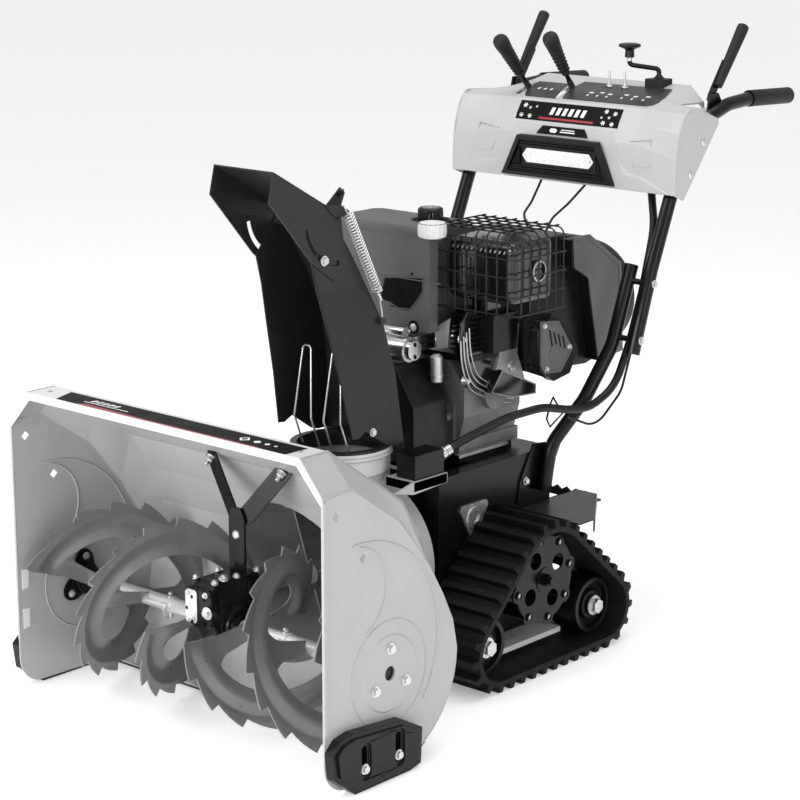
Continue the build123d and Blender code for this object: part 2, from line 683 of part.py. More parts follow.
with BuildPart() as muffler:
    block((52, -62, 716), (216, 62, 836))
    fillet(muffler.edges(), 14)
    rod((216, 12, 776), (221, 12, 776), 22)
    rod((219, 12, 776), (222, 12, 776), 18, Mode.SUBTRACT)
    block((80, -20, 690.5), (120, 20, 716))
    for x in range(66, 206, 14):
        block((x, -70, 812), (x + 6, -58, 820), Mode.SUBTRACT)
    for i in range(7):
        block((62 + 22 * i, -64.5, 730), (68 + 22 * i, -60, 800))

with BuildPart() as muffler_guard:
    for x in (36, 62, 88, 114, 140, 166, 192, 218):
        run([(x, -80, 698), (x, -80, 858), (x, 74, 858)], 1.6, 16)
    for y in (-60, -34, -8, 18, 44, 68):
        run([(235, y, 698), (235, y, 855.5), (32, y, 855.5)], 1.6, 16)
    for z in (702, 738, 774, 810, 842):
        run([(32, -82.5, z), (237.5, -82.5, z), (237.5, 72, z)], 1.6, 16)

with BuildPart() as fuel_tank:
    layer([(-214, -110), (50, -110), (50, -86), (26, -86), (26, 34), (-196, 34), (-214, 16)], 650, 852)
    edges = fuel_tank.faces().sort_by(Axis.Z)[-1].edges()
    fillet(edges, 9)
    block((-205, -100, 640), (22, 26, 700), Mode.SUBTRACT)
    rod((-29, -17, 844), (-29, -17, 870), 38, Mode.SUBTRACT)
    rod((-29, -17, 840), (-29, -17, 850), 20)
    panel([(-10, 751), (28, 752), (26, 715), (-5, 687), (-52, 690), (-15, 717)], -112, -106,
          Mode.SUBTRACT)
    rod((58, -112, 841), (58, -112, 867), 26)

with BuildPart() as fuel_cap:
    rod((-29, -17, 850.4), (-29, -17, 876), 25)
    chamfer(fuel_cap.faces().sort_by(Axis.Z)[-1].edges(), 3)
    with BuildSketch(Plane.XY.offset(850)) as ribs:
        with Locations((-29, -17)):
            with PolarLocations(26, 18):
                Circle(1.8)
    extrude(ribs.sketch, amount=20, mode=Mode.SUBTRACT)

COVER = [(112, 748), (150, 812), (263, 803), (310, 776), (374, 727), (383, 553), (297, 532)]
COVER += [(112, 545)]
with BuildPart() as side_cover:
    slab(COVER, -80, 120)
    slab([(205, 803), (263, 803), (310, 776), (374, 727), (383, 553), (297, 542), (267, 676),
          (259, 718), (207, 748)], 120, 150)
    slab(inset(COVER, [3] * 8), -90, 116, Mode.SUBTRACT)
    slab([(72, 640), (112, 660), (150, 655), (205, 585), (180, 540), (128, 532), (84, 560)], 150.5, 170)
    slab([(96, 570), (110, 640), (120, 648), (112, 560)], 112, 150.5)
    for i in range(4):
        slab([(112 + 12 * i, 640 - 9 * i), (116 + 12 * i, 637 - 9 * i), (116 + 12 * i, 590 - 4 * i),
              (112 + 12 * i, 593 - 4 * i)], 170, 172)

with BuildPart() as recoil_housing:
    rod((45, 384, 655), (45, 410, 655), 112)
    rod((45, 410, 655), (45, 432, 655), 88)
    rod((45, 425, 655), (45, 433, 655), 40, Mode.SUBTRACT)

with BuildPart() as electric_starter:
    rod((-60, -150, 622), (36, -150, 622), 24)
    rod((36, -150, 622), (48, -150, 622), 19)
    rod((-40, -150, 655), (24, -150, 655), 10)
    block((-20, -150, 610), (20, -58, 640))

# Handlebars and controls.


def build_handlebar(side):
    """Upper tube from the panel to the grip, lower tube down to the tractor body."""
    with BuildPart() as bar:
        run([(side * 262, 263, 578), (side * 262, 318, 740), (side * 262, 378, 880),
             (side * 264, 470, 1020), (side * 269, 560, 1050), (side * 269, 640, 1055.5),
             (side * 269, 783, 1050)], TUBE_R, 90)
        run([(side * 212, 322, 745), (side * 212, 262, 590), (side * 200, 190, 490),
             (side * 163, 130, 400), (side * 163, 110, 310)], TUBE_R, 90)
        rod((side * 212, 310, 715), (side * 262, 310, 715), 6)
        rod((side * 212, 268, 606), (side * 262, 271, 606), 6)
        slab([(505, 1035), (560, 1050), (543, 1074), (515, 1074)], side * 253.5, side * 258)
        rod((side * 244, 527, 1065), (side * 256, 527, 1065), 3)
    return bar.part


with BuildPart() as handlebar_left:
    add(build_handlebar(1))
with BuildPart() as handlebar_right:
    add(build_handlebar(-1))

with BuildPart() as grips:
    for side in (-1, 1):
        rod((side * 269, 636, 1055.6), (side * 269, 784, 1050), 17)
        rod((side * 269, 630, 1055.9), (side * 269, 783.1, 1050.04), TUBE_R + 0.5, Mode.SUBTRACT)

with BuildPart() as frame_bolts:
    for side in (-1, 1):
        for y, z in ((310, 715), (270, 606)):
            hex_bolt((side * 276, y, z), (side, 0, 0), 6, 4)
        for y, z in ((153, 362), (68, 336)):
            hex_bolt((side * 149, y, z), (side, 0, 0), 6, 5)
        for y, z in ((449, 984), (407, 923)):
            hex_bolt((side * 288, y, z), (side, 0, 0), 5, 2, 1)
        for y, z in (IDLER_FRONT, IDLER_REAR):
            hex_bolt((side * 262.6, y, z), (side, 0, 0), 15, 11, 3)

CENTRE = [(354, 888), (362, 980), (377, 1018), (396, 1048), (440, 1062), (548, 1084), (550, 1066)]
CENTRE += [(386, 876)]
FLANK = [(352, 888), (356, 960), (366, 1010), (385, 1046), (415, 1054), (500, 1027), (503, 1018)]
FLANK += [(386, 874)]
OPEN = [3, 3, 3, 3, 3, 3, -20, -20]
with BuildPart() as control_panel:
    slab(CENTRE, -185, 185)
    for side in (-1, 1):
        skin([(side * 185, CENTRE), (side * 288, FLANK)])
    slab(inset(CENTRE, OPEN), -185, 185, Mode.SUBTRACT)
    for side in (-1, 1):
        skin([(side * 185, inset(CENTRE, OPEN)), (side * 285, inset(FLANK, OPEN))], Mode.SUBTRACT)
        run([(side * 262, 300, 700), (side * 262, 378, 880), (side * 264, 470, 1020),
             (side * 269, 560, 1050), (side * 269, 700, 1055.5)], TUBE_R + 3, 90, Mode.SUBTRACT)
        block((side * 236, 440, 1020), (side * 256, 560, 1100), Mode.SUBTRACT)
    for x in (-160, -60):
        block((x - 8, 410, 1040), (x + 8, 482, 1100), Mode.SUBTRACT)
    block((100, 508, 1070), (140, 546, 1094))
    rod((120, 528, 1040), (120, 528, 1100), 5 + RUNNING, Mode.SUBTRACT)
    for x in (20, 60):
        rod((x, 494, 1066), (x, 494, 1080), 6)
        rod((x, 494, 1056), (x, 494, 1092), 4.4, Mode.SUBTRACT)
    for x in (-160, -60):
        block((x - 14, 466, 1020), (x - 10, 494, 1064))

with BuildPart() as work_lamp:
    for_lamp = [(-144, 893), (-103, 979), (103, 979), (144, 893)]
    panel(for_lamp, 344, 353)
    panel(inset(for_lamp, [9] * 4), 343, 349, Mode.SUBTRACT)
    for z in (900, 912, 960):
        block((-108 + (z - 900) * 0.3, 346, z), (108 - (z - 900) * 0.3, 349, z + 4))

with BuildPart() as lamp_lens:
    panel([(-92, 936), (-80, 922), (80, 922), (92, 936), (80, 952), (-80, 952)], 345.5, 349)

with BuildPart() as crank_arm:
    run([(120, 528, 1050), (120, 528, 1114), (80, 479, 1124), (80, 479, 1157)], 5, 9)
    rod((120, 528, 1050), (120, 528, 1060), 9)

with BuildPart() as crank_knob:
    rod((80, 479, 1139), (80, 479, 1156), 9)
    rod((80, 479, 1156), (80, 479, 1161), 14)
    rod((80, 479, 1161), (80, 479, 1168), 23)
    rod((80, 479, 1135), (80, 479, 1158), 5 + RUNNING, Mode.SUBTRACT)


def build_clutch_lever(side):
    """Clutch lever: a flat shank and a round handle."""
    up, back = sin(radians(54.5)), cos(radians(54.5))

    def at(distance, x):
        return (side * x, 527 + distance * back, 1065 + distance * up)

    with BuildPart() as lever:
        with BuildSketch(Plane(origin=at(-10, 249.2), x_dir=(1, 0, 0), z_dir=(0, back, up))) as shank:
            Rectangle(4.6, 20)
        extrude(shank.sketch, amount=94)
        cone(at(32, 256), at(172, 258), 9, 12.5)
        rod((side * 240, 527, 1065), (side * 260, 527, 1065), 3 + RUNNING, Mode.SUBTRACT)
    return lever.part


with BuildPart() as clutch_lever_left:
    add(build_clutch_lever(1))
with BuildPart() as clutch_lever_right:
    add(build_clutch_lever(-1))


def build_shift_lever(x, base, top):
    """Gear style lever with a tapered grip, pivoted below the panel."""
    foot = Vector(x, *base)
    head = Vector(x, *top)
    along = (head - foot).normalized()
    pivot = foot - along * 36
    with BuildPart() as lever:
        rod(tuple(pivot), tuple(foot + along * 50), 5)
        rod((x - 8, pivot.Y, pivot.Z), (x + 8, pivot.Y, pivot.Z), 8)
        cone(tuple(foot + along * 34), tuple(head - along * 14), 8.5, 17)
        cone(tuple(head - along * 14), tuple(head), 17, 11)
    return lever.part


with BuildPart() as speed_lever:
    add(build_shift_lever(-160, (448, 1066), (346, 1175)))
with BuildPart() as deflector_lever:
    add(build_shift_lever(-60, (469, 1070), (386, 1185)))



def build_switch(x):
    """Toggle of a switch with a round pivot in its bush."""
    with BuildPart() as toggle:
        rod((x, 494, 1074), (x, 491, 1106), 2.4)
        rod((x - 3, 494, 1074), (x + 3, 494, 1074), 2.8)
    return toggle.part


with BuildPart() as switch_lamp:
    add(build_switch(20))
with BuildPart() as switch_heat:
    add(build_switch(60))

FINISHED = {
    "housing_shell": housing_shell,
    "side_plate_left": side_plate_left,
    "side_plate_right": side_plate_right,
    "scraper_bar": scraper_bar,
    "fan_housing": fan_housing,
    "skid_shoes": skid_shoes,
    "housing_bolts": housing_bolts,
    "auger_bearings": auger_bearings,
    "gearbox_case": gearbox_case,
    "gearbox_brace": gearbox_brace,
    "auger_shaft": auger_shaft,
    "auger_left": auger_left,
    "auger_right": auger_right,
    "shear_pins": shear_pins,
    "impeller_shaft": impeller_shaft,
    "impeller": impeller,
    "chute": chute,
    "chute_fittings": chute_fittings,
    "deflector": deflector,
    "deflector_spring": deflector_spring,
    "chute_drive_box": chute_drive_box,
    "flex_shaft": flex_shaft,
    "control_cables": control_cables,
    "track_left": track_left,
    "track_right": track_right,
    "track_frames": track_frames,
    "sprocket_left": sprocket_left,
    "sprocket_right": sprocket_right,
    "idler_front_left": idler_front_left,
    "idler_front_right": idler_front_right,
    "idler_rear_left": idler_rear_left,
    "idler_rear_right": idler_rear_right,
    "track_guards": track_guards,
    "tractor_body": tractor_body,
    "side_bearings": side_bearings,
    "belt_cover": belt_cover,
    "engine_block": engine_block,
    "engine_cylinder": engine_cylinder,
    "muffler": muffler,
    "muffler_guard": muffler_guard,
    "fuel_tank": fuel_tank,
    "fuel_cap": fuel_cap,
    "side_cover": side_cover,
    "recoil_housing": recoil_housing,
    "electric_starter": electric_starter,
    "handlebar_left": handlebar_left,
    "handlebar_right": handlebar_right,
    "grips": grips,
    "frame_bolts": frame_bolts,
    "control_panel": control_panel,
    "work_lamp": work_lamp,
    "lamp_lens": lamp_lens,
    "crank_arm": crank_arm,
    "crank_knob": crank_knob,
    "clutch_lever_left": clutch_lever_left,
    "clutch_lever_right": clutch_lever_right,
    "speed_lever": speed_lever,
    "deflector_lever": deflector_lever,
    "switch_lamp": switch_lamp,
    "switch_heat": switch_heat,
}

for label, piece in FINISHED.items():
    piece.part.label = label
    export_step(piece.part, f"parts/{label}.step")
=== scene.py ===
import json
from math import asin, cos, exp, hypot, pi, radians, sin

import bmesh
import bpy
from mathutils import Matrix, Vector

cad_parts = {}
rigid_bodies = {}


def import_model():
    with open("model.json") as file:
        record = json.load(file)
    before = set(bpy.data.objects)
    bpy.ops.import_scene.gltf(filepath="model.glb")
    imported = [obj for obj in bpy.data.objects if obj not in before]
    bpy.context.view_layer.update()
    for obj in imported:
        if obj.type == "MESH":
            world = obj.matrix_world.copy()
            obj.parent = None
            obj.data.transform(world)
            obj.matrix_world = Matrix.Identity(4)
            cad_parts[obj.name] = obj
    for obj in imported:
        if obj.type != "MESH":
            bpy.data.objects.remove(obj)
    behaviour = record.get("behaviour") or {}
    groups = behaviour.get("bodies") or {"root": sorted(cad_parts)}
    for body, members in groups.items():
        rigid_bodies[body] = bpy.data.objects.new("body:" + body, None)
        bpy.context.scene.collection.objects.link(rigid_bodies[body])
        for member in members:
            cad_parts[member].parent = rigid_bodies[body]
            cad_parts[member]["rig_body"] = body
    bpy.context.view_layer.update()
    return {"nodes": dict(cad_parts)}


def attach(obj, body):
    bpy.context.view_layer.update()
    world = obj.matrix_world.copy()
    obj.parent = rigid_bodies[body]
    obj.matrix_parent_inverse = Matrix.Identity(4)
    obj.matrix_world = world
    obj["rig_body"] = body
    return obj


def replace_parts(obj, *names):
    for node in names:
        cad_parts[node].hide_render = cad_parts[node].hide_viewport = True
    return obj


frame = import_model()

MM = 0.001
SIDES = (-1, 1)
UP, FORWARD, RIGHT = (0, 0, 1), (0, -1, 0), (1, 0, 0)
# Where the two outline coordinates and the level go for a prism along each axis.
PRISM_ORDER = {"x": (2, 0, 1), "y": (0, 2, 1), "z": (0, 1, 2)}
HUB = (-616.0, 184.5)
NECK = (0, -308)
SPROCKET = (-29.0, 182.0)
SPROCKET_DISCS = (276.0, 182.0)
FUEL_CAP = (-29.0, -17.0)
OIL_KNOB = (58, -112)
DECAL_TOP = 590.9
# Middle profile of the control panel, from its lower front edge to its back: Y, Z.
FACE = [(354, 888), (362, 980), (377, 1018), (396, 1048), (440, 1062), (548, 1084)]
# Hand levers in the panel: name, X, foot (Y, Z) and head (Y, Z).
LEVERS = (("speed_lever", -160, (448, 1066), (346, 1175)),
          ("deflector_lever", -60, (469, 1070), (386, 1185)))


# Camera, light and floor

VIEW_AZIMUTH, VIEW_ELEVATION = 41.7, 13.82
CAMERA_PLACE = (2.92637, -3.42377, 1.59736)
FOCAL_LENGTH = 104.8


def fill(node, values):
    """Set inputs of a shader node."""
    for socket, value in values.items():
        node.inputs[socket].default_value = value


def make_camera():
    azimuth, elevation = radians(VIEW_AZIMUTH), radians(VIEW_ELEVATION)
    back = Vector((sin(azimuth) * cos(elevation), -cos(azimuth) * cos(elevation), sin(elevation)))
    data = bpy.data.cameras.new("camera")
    data.lens = FOCAL_LENGTH
    data.sensor_width = 36
    data.clip_end = 60
    camera = bpy.data.objects.new("camera", data)
    bpy.context.scene.collection.objects.link(camera)
    camera.location = CAMERA_PLACE
    camera.rotation_mode = "QUATERNION"
    camera.rotation_quaternion = (-back).to_track_quat("-Z", "Y")
    bpy.context.scene.camera = camera


# Area lights: name, place, target, size and power.
LIGHTS = (
    ("key", (-1.6, -3.2, 3.6), (0, -0.3, 0.5), (2.2, 2.2), 58),
    ("side", (3.6, -0.6, 1.6), (0.1, -0.1, 0.6), (1.6, 2.6), 28),
    ("front", (0.2, -3.6, 1.0), (0, -0.6, 0.25), (2.4, 1.2), 80),
    ("top", (0.2, 0.4, 3.6), (0, 0, 0.6), (2.4, 2.4), 44),
)


def make_light(name, place, target, size, power):
    data = bpy.data.lights.new(name, "AREA")
    data.shape = "RECTANGLE"
    data.size, data.size_y = size
    data.energy = power
    lamp = bpy.data.objects.new(name, data)
    bpy.context.scene.collection.objects.link(lamp)
    lamp.location = place
    aim = Vector(target) - Vector(place)
    lamp.rotation_mode = "QUATERNION"
    lamp.rotation_quaternion = aim.to_track_quat("-Z", "Y")


# Half width of the floor in metres, wide enough to hide the horizon.
FLOOR_HALF = 30


def make_stage():
    mesh = bpy.data.meshes.new("floor")
    half = FLOOR_HALF
    mesh.from_pydata([(-half, -half, 0), (half, -half, 0), (half, half, 0), (-half, half, 0)], [],
                     [(0, 1, 2, 3)])
    floor = bpy.data.objects.new("floor", mesh)
    bpy.context.scene.collection.objects.link(floor)
    white = bpy.data.materials.new("floor")
    white.use_nodes = True
    fill(white.node_tree.nodes["Principled BSDF"], {"Base Color": (0.93, 0.93, 0.93, 1),
                                                    "Roughness": 0.9, "Specular IOR Level": 0.1,
                                                    "Emission Color": (1, 1, 1, 1),
                                                    "Emission Strength": 0.3})
    mesh.materials.append(white)
    world = bpy.data.worlds.new("studio")
    world.use_nodes = True
    fill(world.node_tree.nodes["Background"], {"Color": (1, 1, 1, 1), "Strength": 0.62})
    bpy.context.scene.world = world
    bpy.context.scene.view_settings.view_transform = "Standard"
    for light in LIGHTS:
        make_light(*light)


# Materials

def grey(value):
    """Linear value of a display grey, three times."""
    share = value / 255
    linear = share / 12.92 if share <= 0.04045 else ((share + 0.055) / 1.055) ** 2.4
    return (linear, linear, linear)


def material(name, tone, rough, spread, bump, grain, metal=0.0, coat=0.0, mottle=7.0, depth=0.0003,
             rough_spread=0.1, stretch=(1, 1, 1), wear=0.0, wear_tone=0.5, specular=0.5):
    """A finish with soft tone variation, surface grain, uneven gloss and a little wear."""
    colour = tone if isinstance(tone, tuple) else grey(tone)
    made = bpy.data.materials.new(name)
    made.use_nodes = True
    tree = made.node_tree
    nodes, links = tree.nodes, tree.links
    shader = nodes["Principled BSDF"]
    fill(shader, {"Metallic": metal, "Coat Weight": coat, "Coat Roughness": 0.12,
                  "Specular IOR Level": specular})
    place = nodes.new("ShaderNodeTexCoord")
    scaled = nodes.new("ShaderNodeMapping")
    fill(scaled, {"Scale": stretch})
    links.new(place.outputs["Object"], scaled.inputs["Vector"])

    def noise(scale, detail, vector):
        node = nodes.new("ShaderNodeTexNoise")
        fill(node, {"Scale": scale, "Detail": detail, "Roughness": 0.6})
        links.new(vector, node.inputs["Vector"])
        return node.outputs["Fac"]

    def remap(value, low, high, first, last):
        node = nodes.new("ShaderNodeMapRange")
        fill(node, {"From Min": low, "From Max": high, "To Min": first, "To Max": last})
        links.new(value, node.inputs["Value"])
        return node.outputs["Result"]

    def mix(factor, first, last):
        node = nodes.new("ShaderNodeMix")
        node.data_type = "RGBA"
        links.new(factor, node.inputs["Factor"])
        for socket, value in (("A", first), ("B", last)):
            entry = [s for s in node.inputs if s.name == socket and s.type == "RGBA"][0]
            if isinstance(value, tuple):
                entry.default_value = (*value, 1)
            else:
                links.new(value, entry)
        return [s for s in node.outputs if s.type == "RGBA"][0]

    base = noise(mottle, 4, scaled.outputs["Vector"])
    dark = tuple(c * (1 - spread) for c in colour)
    light = tuple(min(1, c * (1 + spread)) for c in colour)
    shade = mix(remap(base, 0.3, 0.7, 0, 1), dark, light)
    if wear:
        scuffs = noise(55, 8, scaled.outputs["Vector"])
        worn = (wear_tone, wear_tone, wear_tone)
        shade = mix(remap(scuffs, 0.66 - wear * 0.1, 0.74, 0, wear), shade, worn)
    links.new(shade, shader.inputs["Base Color"])
    gloss = noise(mottle * 4, 3, scaled.outputs["Vector"])
    links.new(remap(gloss, 0.3, 0.7, rough * (1 - rough_spread), rough * (1 + rough_spread)),
              shader.inputs["Roughness"])
    relief = nodes.new("ShaderNodeBump")
    fill(relief, {"Strength": bump, "Distance": depth})
    links.new(noise(grain, 3, scaled.outputs["Vector"]), relief.inputs["Height"])
    links.new(relief.outputs["Normal"], shader.inputs["Normal"])
    return made


# Finishes: display grey or linear colour, roughness, tone spread, bump strength, grain scale, more.
FINISHES = {
    "grey_paint": (168, 0.36, 0.03, 0.12, 420, dict(coat=0.15, depth=0.0002, wear=0.15,
                                                    wear_tone=0.35)),
    "panel_paint": (178, 0.38, 0.025, 0.1, 900, dict(coat=0.1, depth=0.0001)),
    "lip_paint": (218, 0.3, 0.02, 0.1, 420, dict(coat=0.3)),
    "black_paint": (12, 0.28, 0.25, 0.14, 380, dict(coat=0.08, depth=0.0002, wear=0.1,
                                                    wear_tone=0.02, specular=0.22)),
    "dark_steel": (118, 0.36, 0.14, 0.2, 260, dict(metal=0.3, mottle=9, depth=0.0003,
                                                   rough_spread=0.25, wear=0.15, wear_tone=0.3)),
    "graphite": (84, 0.5, 0.08, 0.35, 1500, dict(specular=0.35, depth=0.00012)),
    "black_plastic": (16, 0.38, 0.2, 0.3, 1200, dict(specular=0.3, depth=0.0001)),
    "grey_plastic": (88, 0.48, 0.08, 0.35, 1500, dict(depth=0.0001)),
    "dark_plastic": (44, 0.34, 0.12, 0.25, 1400, dict(specular=0.35, depth=0.0001)),
    "zinc": (212, 0.3, 0.07, 0.14, 600, dict(metal=0.85, mottle=22, depth=0.0001,
                                             rough_spread=0.2)),
    "sleeve_metal": (206, 0.34, 0.03, 0.08, 420, dict(metal=0.6, mottle=6, depth=0.0001)),
    "gloss_black": (13, 0.14, 0.1, 0.06, 500, dict(coat=0.6, depth=0.0001)),
    "cover_grey": (88, 0.4, 0.06, 0.3, 1500, dict(depth=0.0001, specular=0.4)),
    # Near-black sheets of painted shade, laid where holes, recesses and gaps fall dark.
    "hole_painted_shade": (8, 0.7, 0.2, 0.1, 320, dict(specular=0.1)),
    "steel": (205, 0.26, 0.08, 0.2, 500, dict(metal=1.0, mottle=20, depth=0.0001,
                                              stretch=(0.15, 1, 1))),
    "cast_aluminium": (190, 0.4, 0.14, 0.5, 480, dict(metal=0.85, mottle=24, depth=0.0005,
                                                      rough_spread=0.2)),
    "dark_cast": (112, 0.42, 0.2, 0.5, 480, dict(metal=0.5, mottle=24, depth=0.0005,
                                                 rough_spread=0.2)),
    "track_rubber": (16, 0.6, 0.25, 0.5, 700, dict(specular=0.2, depth=0.0004, wear=0.25,
                                                   wear_tone=0.06, mottle=14)),
    "grip_rubber": (26, 0.55, 0.12, 0.5, 1600, dict(specular=0.3, depth=0.0002)),
    "cable_skin": (13, 0.36, 0.2, 0.3, 900, dict(specular=0.3)),
    # Black paint lifted to a dark grey: a painted sheen that stands in for the soft reflection on
    # the black chute and deflector.
    "chute_paint": (38, 0.34, 0.1, 0.12, 380, dict(coat=0.08, depth=0.0002, wear=0.08,
                                                   wear_tone=0.02, specular=0.25)),
    "wire_black": (14, 0.34, 0.25, 0.3, 800, dict(specular=0.35)),
    "lens": (238, 0.12, 0.04, 0.4, 300, dict(coat=0.5, mottle=90, depth=0.0005)),
    "ivory_plastic": (214, 0.45, 0.04, 0.3, 1100, {}),
    "decal_black": (11, 0.5, 0.1, 0.1, 900, dict(specular=0.12)),
    "decal_red": ((0.33, 0.006, 0.02), 0.3, 0.1, 0.1, 900, {}),
    "decal_white": (235, 0.32, 0.03, 0.1, 900, {}),
}
M = {name: material(name, *core, **more) for name, (*core, more) in FINISHES.items()}

# Carried-over parts by finish.
NODES_BY_FINISH = {
    "black_paint": "scraper_bar skid_shoes auger_bearings gearbox_case gearbox_brace "
                   "chute_drive_box track_frames sprocket_left sprocket_right tractor_body "
                   "engine_cylinder handlebar_left handlebar_right crank_arm",
    "black_plastic": "idler_front_left idler_front_right idler_rear_left idler_rear_right "
                     "belt_cover fuel_cap side_cover recoil_housing work_lamp crank_knob",
    "cable_skin": "flex_shaft control_cables",
    # Chute and deflector get black paint lifted to grey, a painted sheen.
    "chute_paint": "chute deflector",
    "dark_cast": "engine_block",
    "dark_plastic": "track_guards",
    "dark_steel": "auger_left auger_right impeller",
    "gloss_black": "muffler",
    "graphite": "fuel_tank",
    "grey_paint": "housing_shell side_plate_left side_plate_right fan_housing",
    "grip_rubber": "grips clutch_lever_left clutch_lever_right speed_lever deflector_lever",
    "lens": "lamp_lens",
    "panel_paint": "control_panel",
    "steel": "impeller_shaft electric_starter",
    "track_rubber": "track_left track_right",
    "wire_black": "muffler_guard",
    "zinc": "housing_bolts auger_shaft shear_pins chute_fittings deflector_spring side_bearings "
            "frame_bolts switch_lamp switch_heat",
}

# Carried-over parts by the width of their rounded edges in millimetres.
NODES_BY_ROUND = {
    0.5: "frame_bolts housing_bolts",
    0.6: "chute deflector handlebar_left handlebar_right",
    0.8: "track_guards sprocket_left sprocket_right housing_shell",
    1.0: "side_plate_left side_plate_right engine_cylinder fuel_cap side_bearings track_frames",
    1.2: "gearbox_brace lamp_lens",
    1.5: "muffler work_lamp auger_bearings",
    2.0: "gearbox_case electric_starter chute_drive_box tractor_body grips idler_front_left "
         "idler_front_right idler_rear_left idler_rear_right crank_knob",
    2.2: "track_left track_right",
    2.5: "skid_shoes",
    3.0: "engine_block",
    4.0: "belt_cover control_panel",
    5.0: "fuel_tank recoil_housing",
    6.0: "side_cover",
}


def by_node(groups):
    return {name: value for value, names in groups.items() for name in names.split()}


def add_round(piece, width, segments, angle):
    """Round the edges of a piece that are sharper than an angle in degrees."""
    edge = piece.modifiers.new("round", "BEVEL")
    edge.width = width * MM
    edge.segments = segments
    edge.limit_method = "ANGLE"
    edge.angle_limit = radians(angle)
    edge.harden_normals = True


def finish_nodes():
    """Give every carried-over part its finish and rounded edges."""
    finishes, widths = by_node(NODES_BY_FINISH), by_node(NODES_BY_ROUND)
    for name, piece in frame["nodes"].items():
        piece.data.materials.clear()
        piece.data.materials.append(M[finishes[name]])
        if name in widths:
            weld = piece.modifiers.new("weld", "WELD")
            weld.merge_threshold = 0.00001
            add_round(piece, widths[name], 3, 28)


# Mesh building

def circle(middle, side, up, radius, count):
    """Points of a circle that is spanned by two directions."""
    turns = [2 * pi * i / count for i in range(count)]
    return [middle + side * radius * cos(turn) + up * radius * sin(turn) for turn in turns]


class Shape:
    """Collects faces in millimetres and turns them into one object."""

    def __init__(self):
        self.points, self.faces, self.finish = [], [], []

    def put(self, points, faces, finish=0):
        base = len(self.points)
        self.points += [tuple(p) for p in points]
        self.faces += [tuple(i + base for i in face) for face in faces]
        self.finish += [finish] * len(faces)

    def prism(self, axis, outline, low, high, finish=0):
        """A closed outline extruded along x, y or z."""
        order, count = PRISM_ORDER[axis], len(outline)
        points = [[(a, b, level)[i] for i in order] for level in (low, high) for a, b in outline]
        sides = [(i, (i + 1) % count, count + (i + 1) % count, count + i) for i in range(count)]
        self.put(points, sides + [tuple(range(count)), tuple(range(count, 2 * count))], finish)

    def box(self, low, high, finish=0):
        self.prism("z", [(low[0], low[1]), (high[0], low[1]), (high[0], high[1]),
                         (low[0], high[1])], low[2], high[2], finish)

    def rings(self, rings, finish=0, caps=True, joined=False):
        """Faces between rings with equal point counts."""
        count = len(rings[0])
        points = [p for ring in rings for p in ring]
        faces = []
        for k in range(len(rings) if joined else len(rings) - 1):
            a, b = k * count, (k + 1) % len(rings) * count
            for i in range(count):
                j = (i + 1) % count
                faces.append((a + i, a + j, b + j, b + i))
        if caps and not joined:
            faces.append(tuple(range(count)))
            faces.append(tuple(range((len(rings) - 1) * count, len(rings) * count)))
        self.put(points, faces, finish)

    def turned(self, foot, direction, profile, finish=0, sides=32, caps=True, joined=False):
        """A turned body: profile is (distance along, radius)."""
        axis = Vector(direction).normalized()
        side = axis.orthogonal().normalized()
        up = axis.cross(side)
        rings = [circle(Vector(foot) + axis * along, side, up, radius, sides) for along,
                 radius in profile]
        self.rings(rings, finish, caps, joined)

    def hexagon(self, foot, direction, radius, height, finish=0, washer=1.5, spread=1.35):
        """A washer with a chamfered hexagon head on it."""
        if washer:
            self.turned(foot, direction, [(0, radius * spread), (washer * 0.8, radius * spread),
                                          (washer, radius * spread - 0.4)], finish, 24)
        axis = Vector(direction).normalized()
        base = Vector(foot) + axis * washer
        self.turned(base, axis,
                    [(0, radius), (height * 0.8, radius), (height, radius * 0.82)], finish, 6)
        self.turned(base, axis,
                    [(height - 0.2, radius * 0.5), (height + 0.8, radius * 0.45)], finish, 16)

    def tube(self, route, radius, finish=0, sides=8, joined=False, caps=True):
        """A round bar that follows points; radius may be a list."""
        points = [Vector(p) for p in route]
        count = len(points)
        side = None
        rings = []
        for i, point in enumerate(points):
            before = points[i - 1] if i or joined else point
            after = points[(i + 1) % count] if i + 1 < count or joined else point
            along = (after - before).normalized()
            if side is None:
                side = along.orthogonal().normalized()
            side = (side - along * side.dot(along)).normalized()
            up = along.cross(side)
            size = radius[i] if isinstance(radius, list) else radius
            rings.append(circle(point, side, up, size, sides))
        self.rings(rings, finish, caps, joined)

    def make(self, name, finishes, round_edges=0.0, body="machine", angle=35,
             merge=0.0, segments=2):
        """The object itself, riding a body; angle is where its shading turns sharp."""
        mesh = bpy.data.meshes.new(name)
        mesh.from_pydata([(x * MM, y * MM, z * MM) for x, y, z in self.points], [], self.faces)
        for finish in finishes:
            mesh.materials.append(M[finish])
        mesh.polygons.foreach_set("material_index", self.finish)
        work = bmesh.new()
        work.from_mesh(mesh)
        if merge:
            bmesh.ops.remove_doubles(work, verts=work.verts, dist=merge * MM)
        bmesh.ops.recalc_face_normals(work, faces=work.faces)
        work.to_mesh(mesh)
        work.free()
        mesh.polygons.foreach_set("use_smooth", [True] * len(mesh.polygons))
        mesh.set_sharp_from_angle(angle=radians(angle))
        piece = bpy.data.objects.new(name, mesh)
        bpy.context.scene.collection.objects.link(piece)
        if round_edges:
            add_round(piece, round_edges, segments, 30)
        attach(piece, body)
        return piece


def curve(points, steps=8, joined=False):
    """Points on a smooth line through the given ones."""
    known = [Vector(p) for p in points]
    count = len(known)
    line = []
    for i in range(count if joined else count - 1):
        a = known[i - 1] if i or joined else known[0] * 2 - known[1]
        b, c = known[i], known[(i + 1) % count]
        far = i + 2 < count or joined
        d = known[(i + 2) % count] if far else c * 2 - b
        for k in range(steps):
            t = k / steps
            line.append(0.5 * (2 * b + (c - a) * t + (2 * a - 5 * b + 4 * c - d) * t * t
                               + (3 * b - 3 * c + d - a) * t ** 3))
    if not joined:
        line.append(known[-1])
    return line


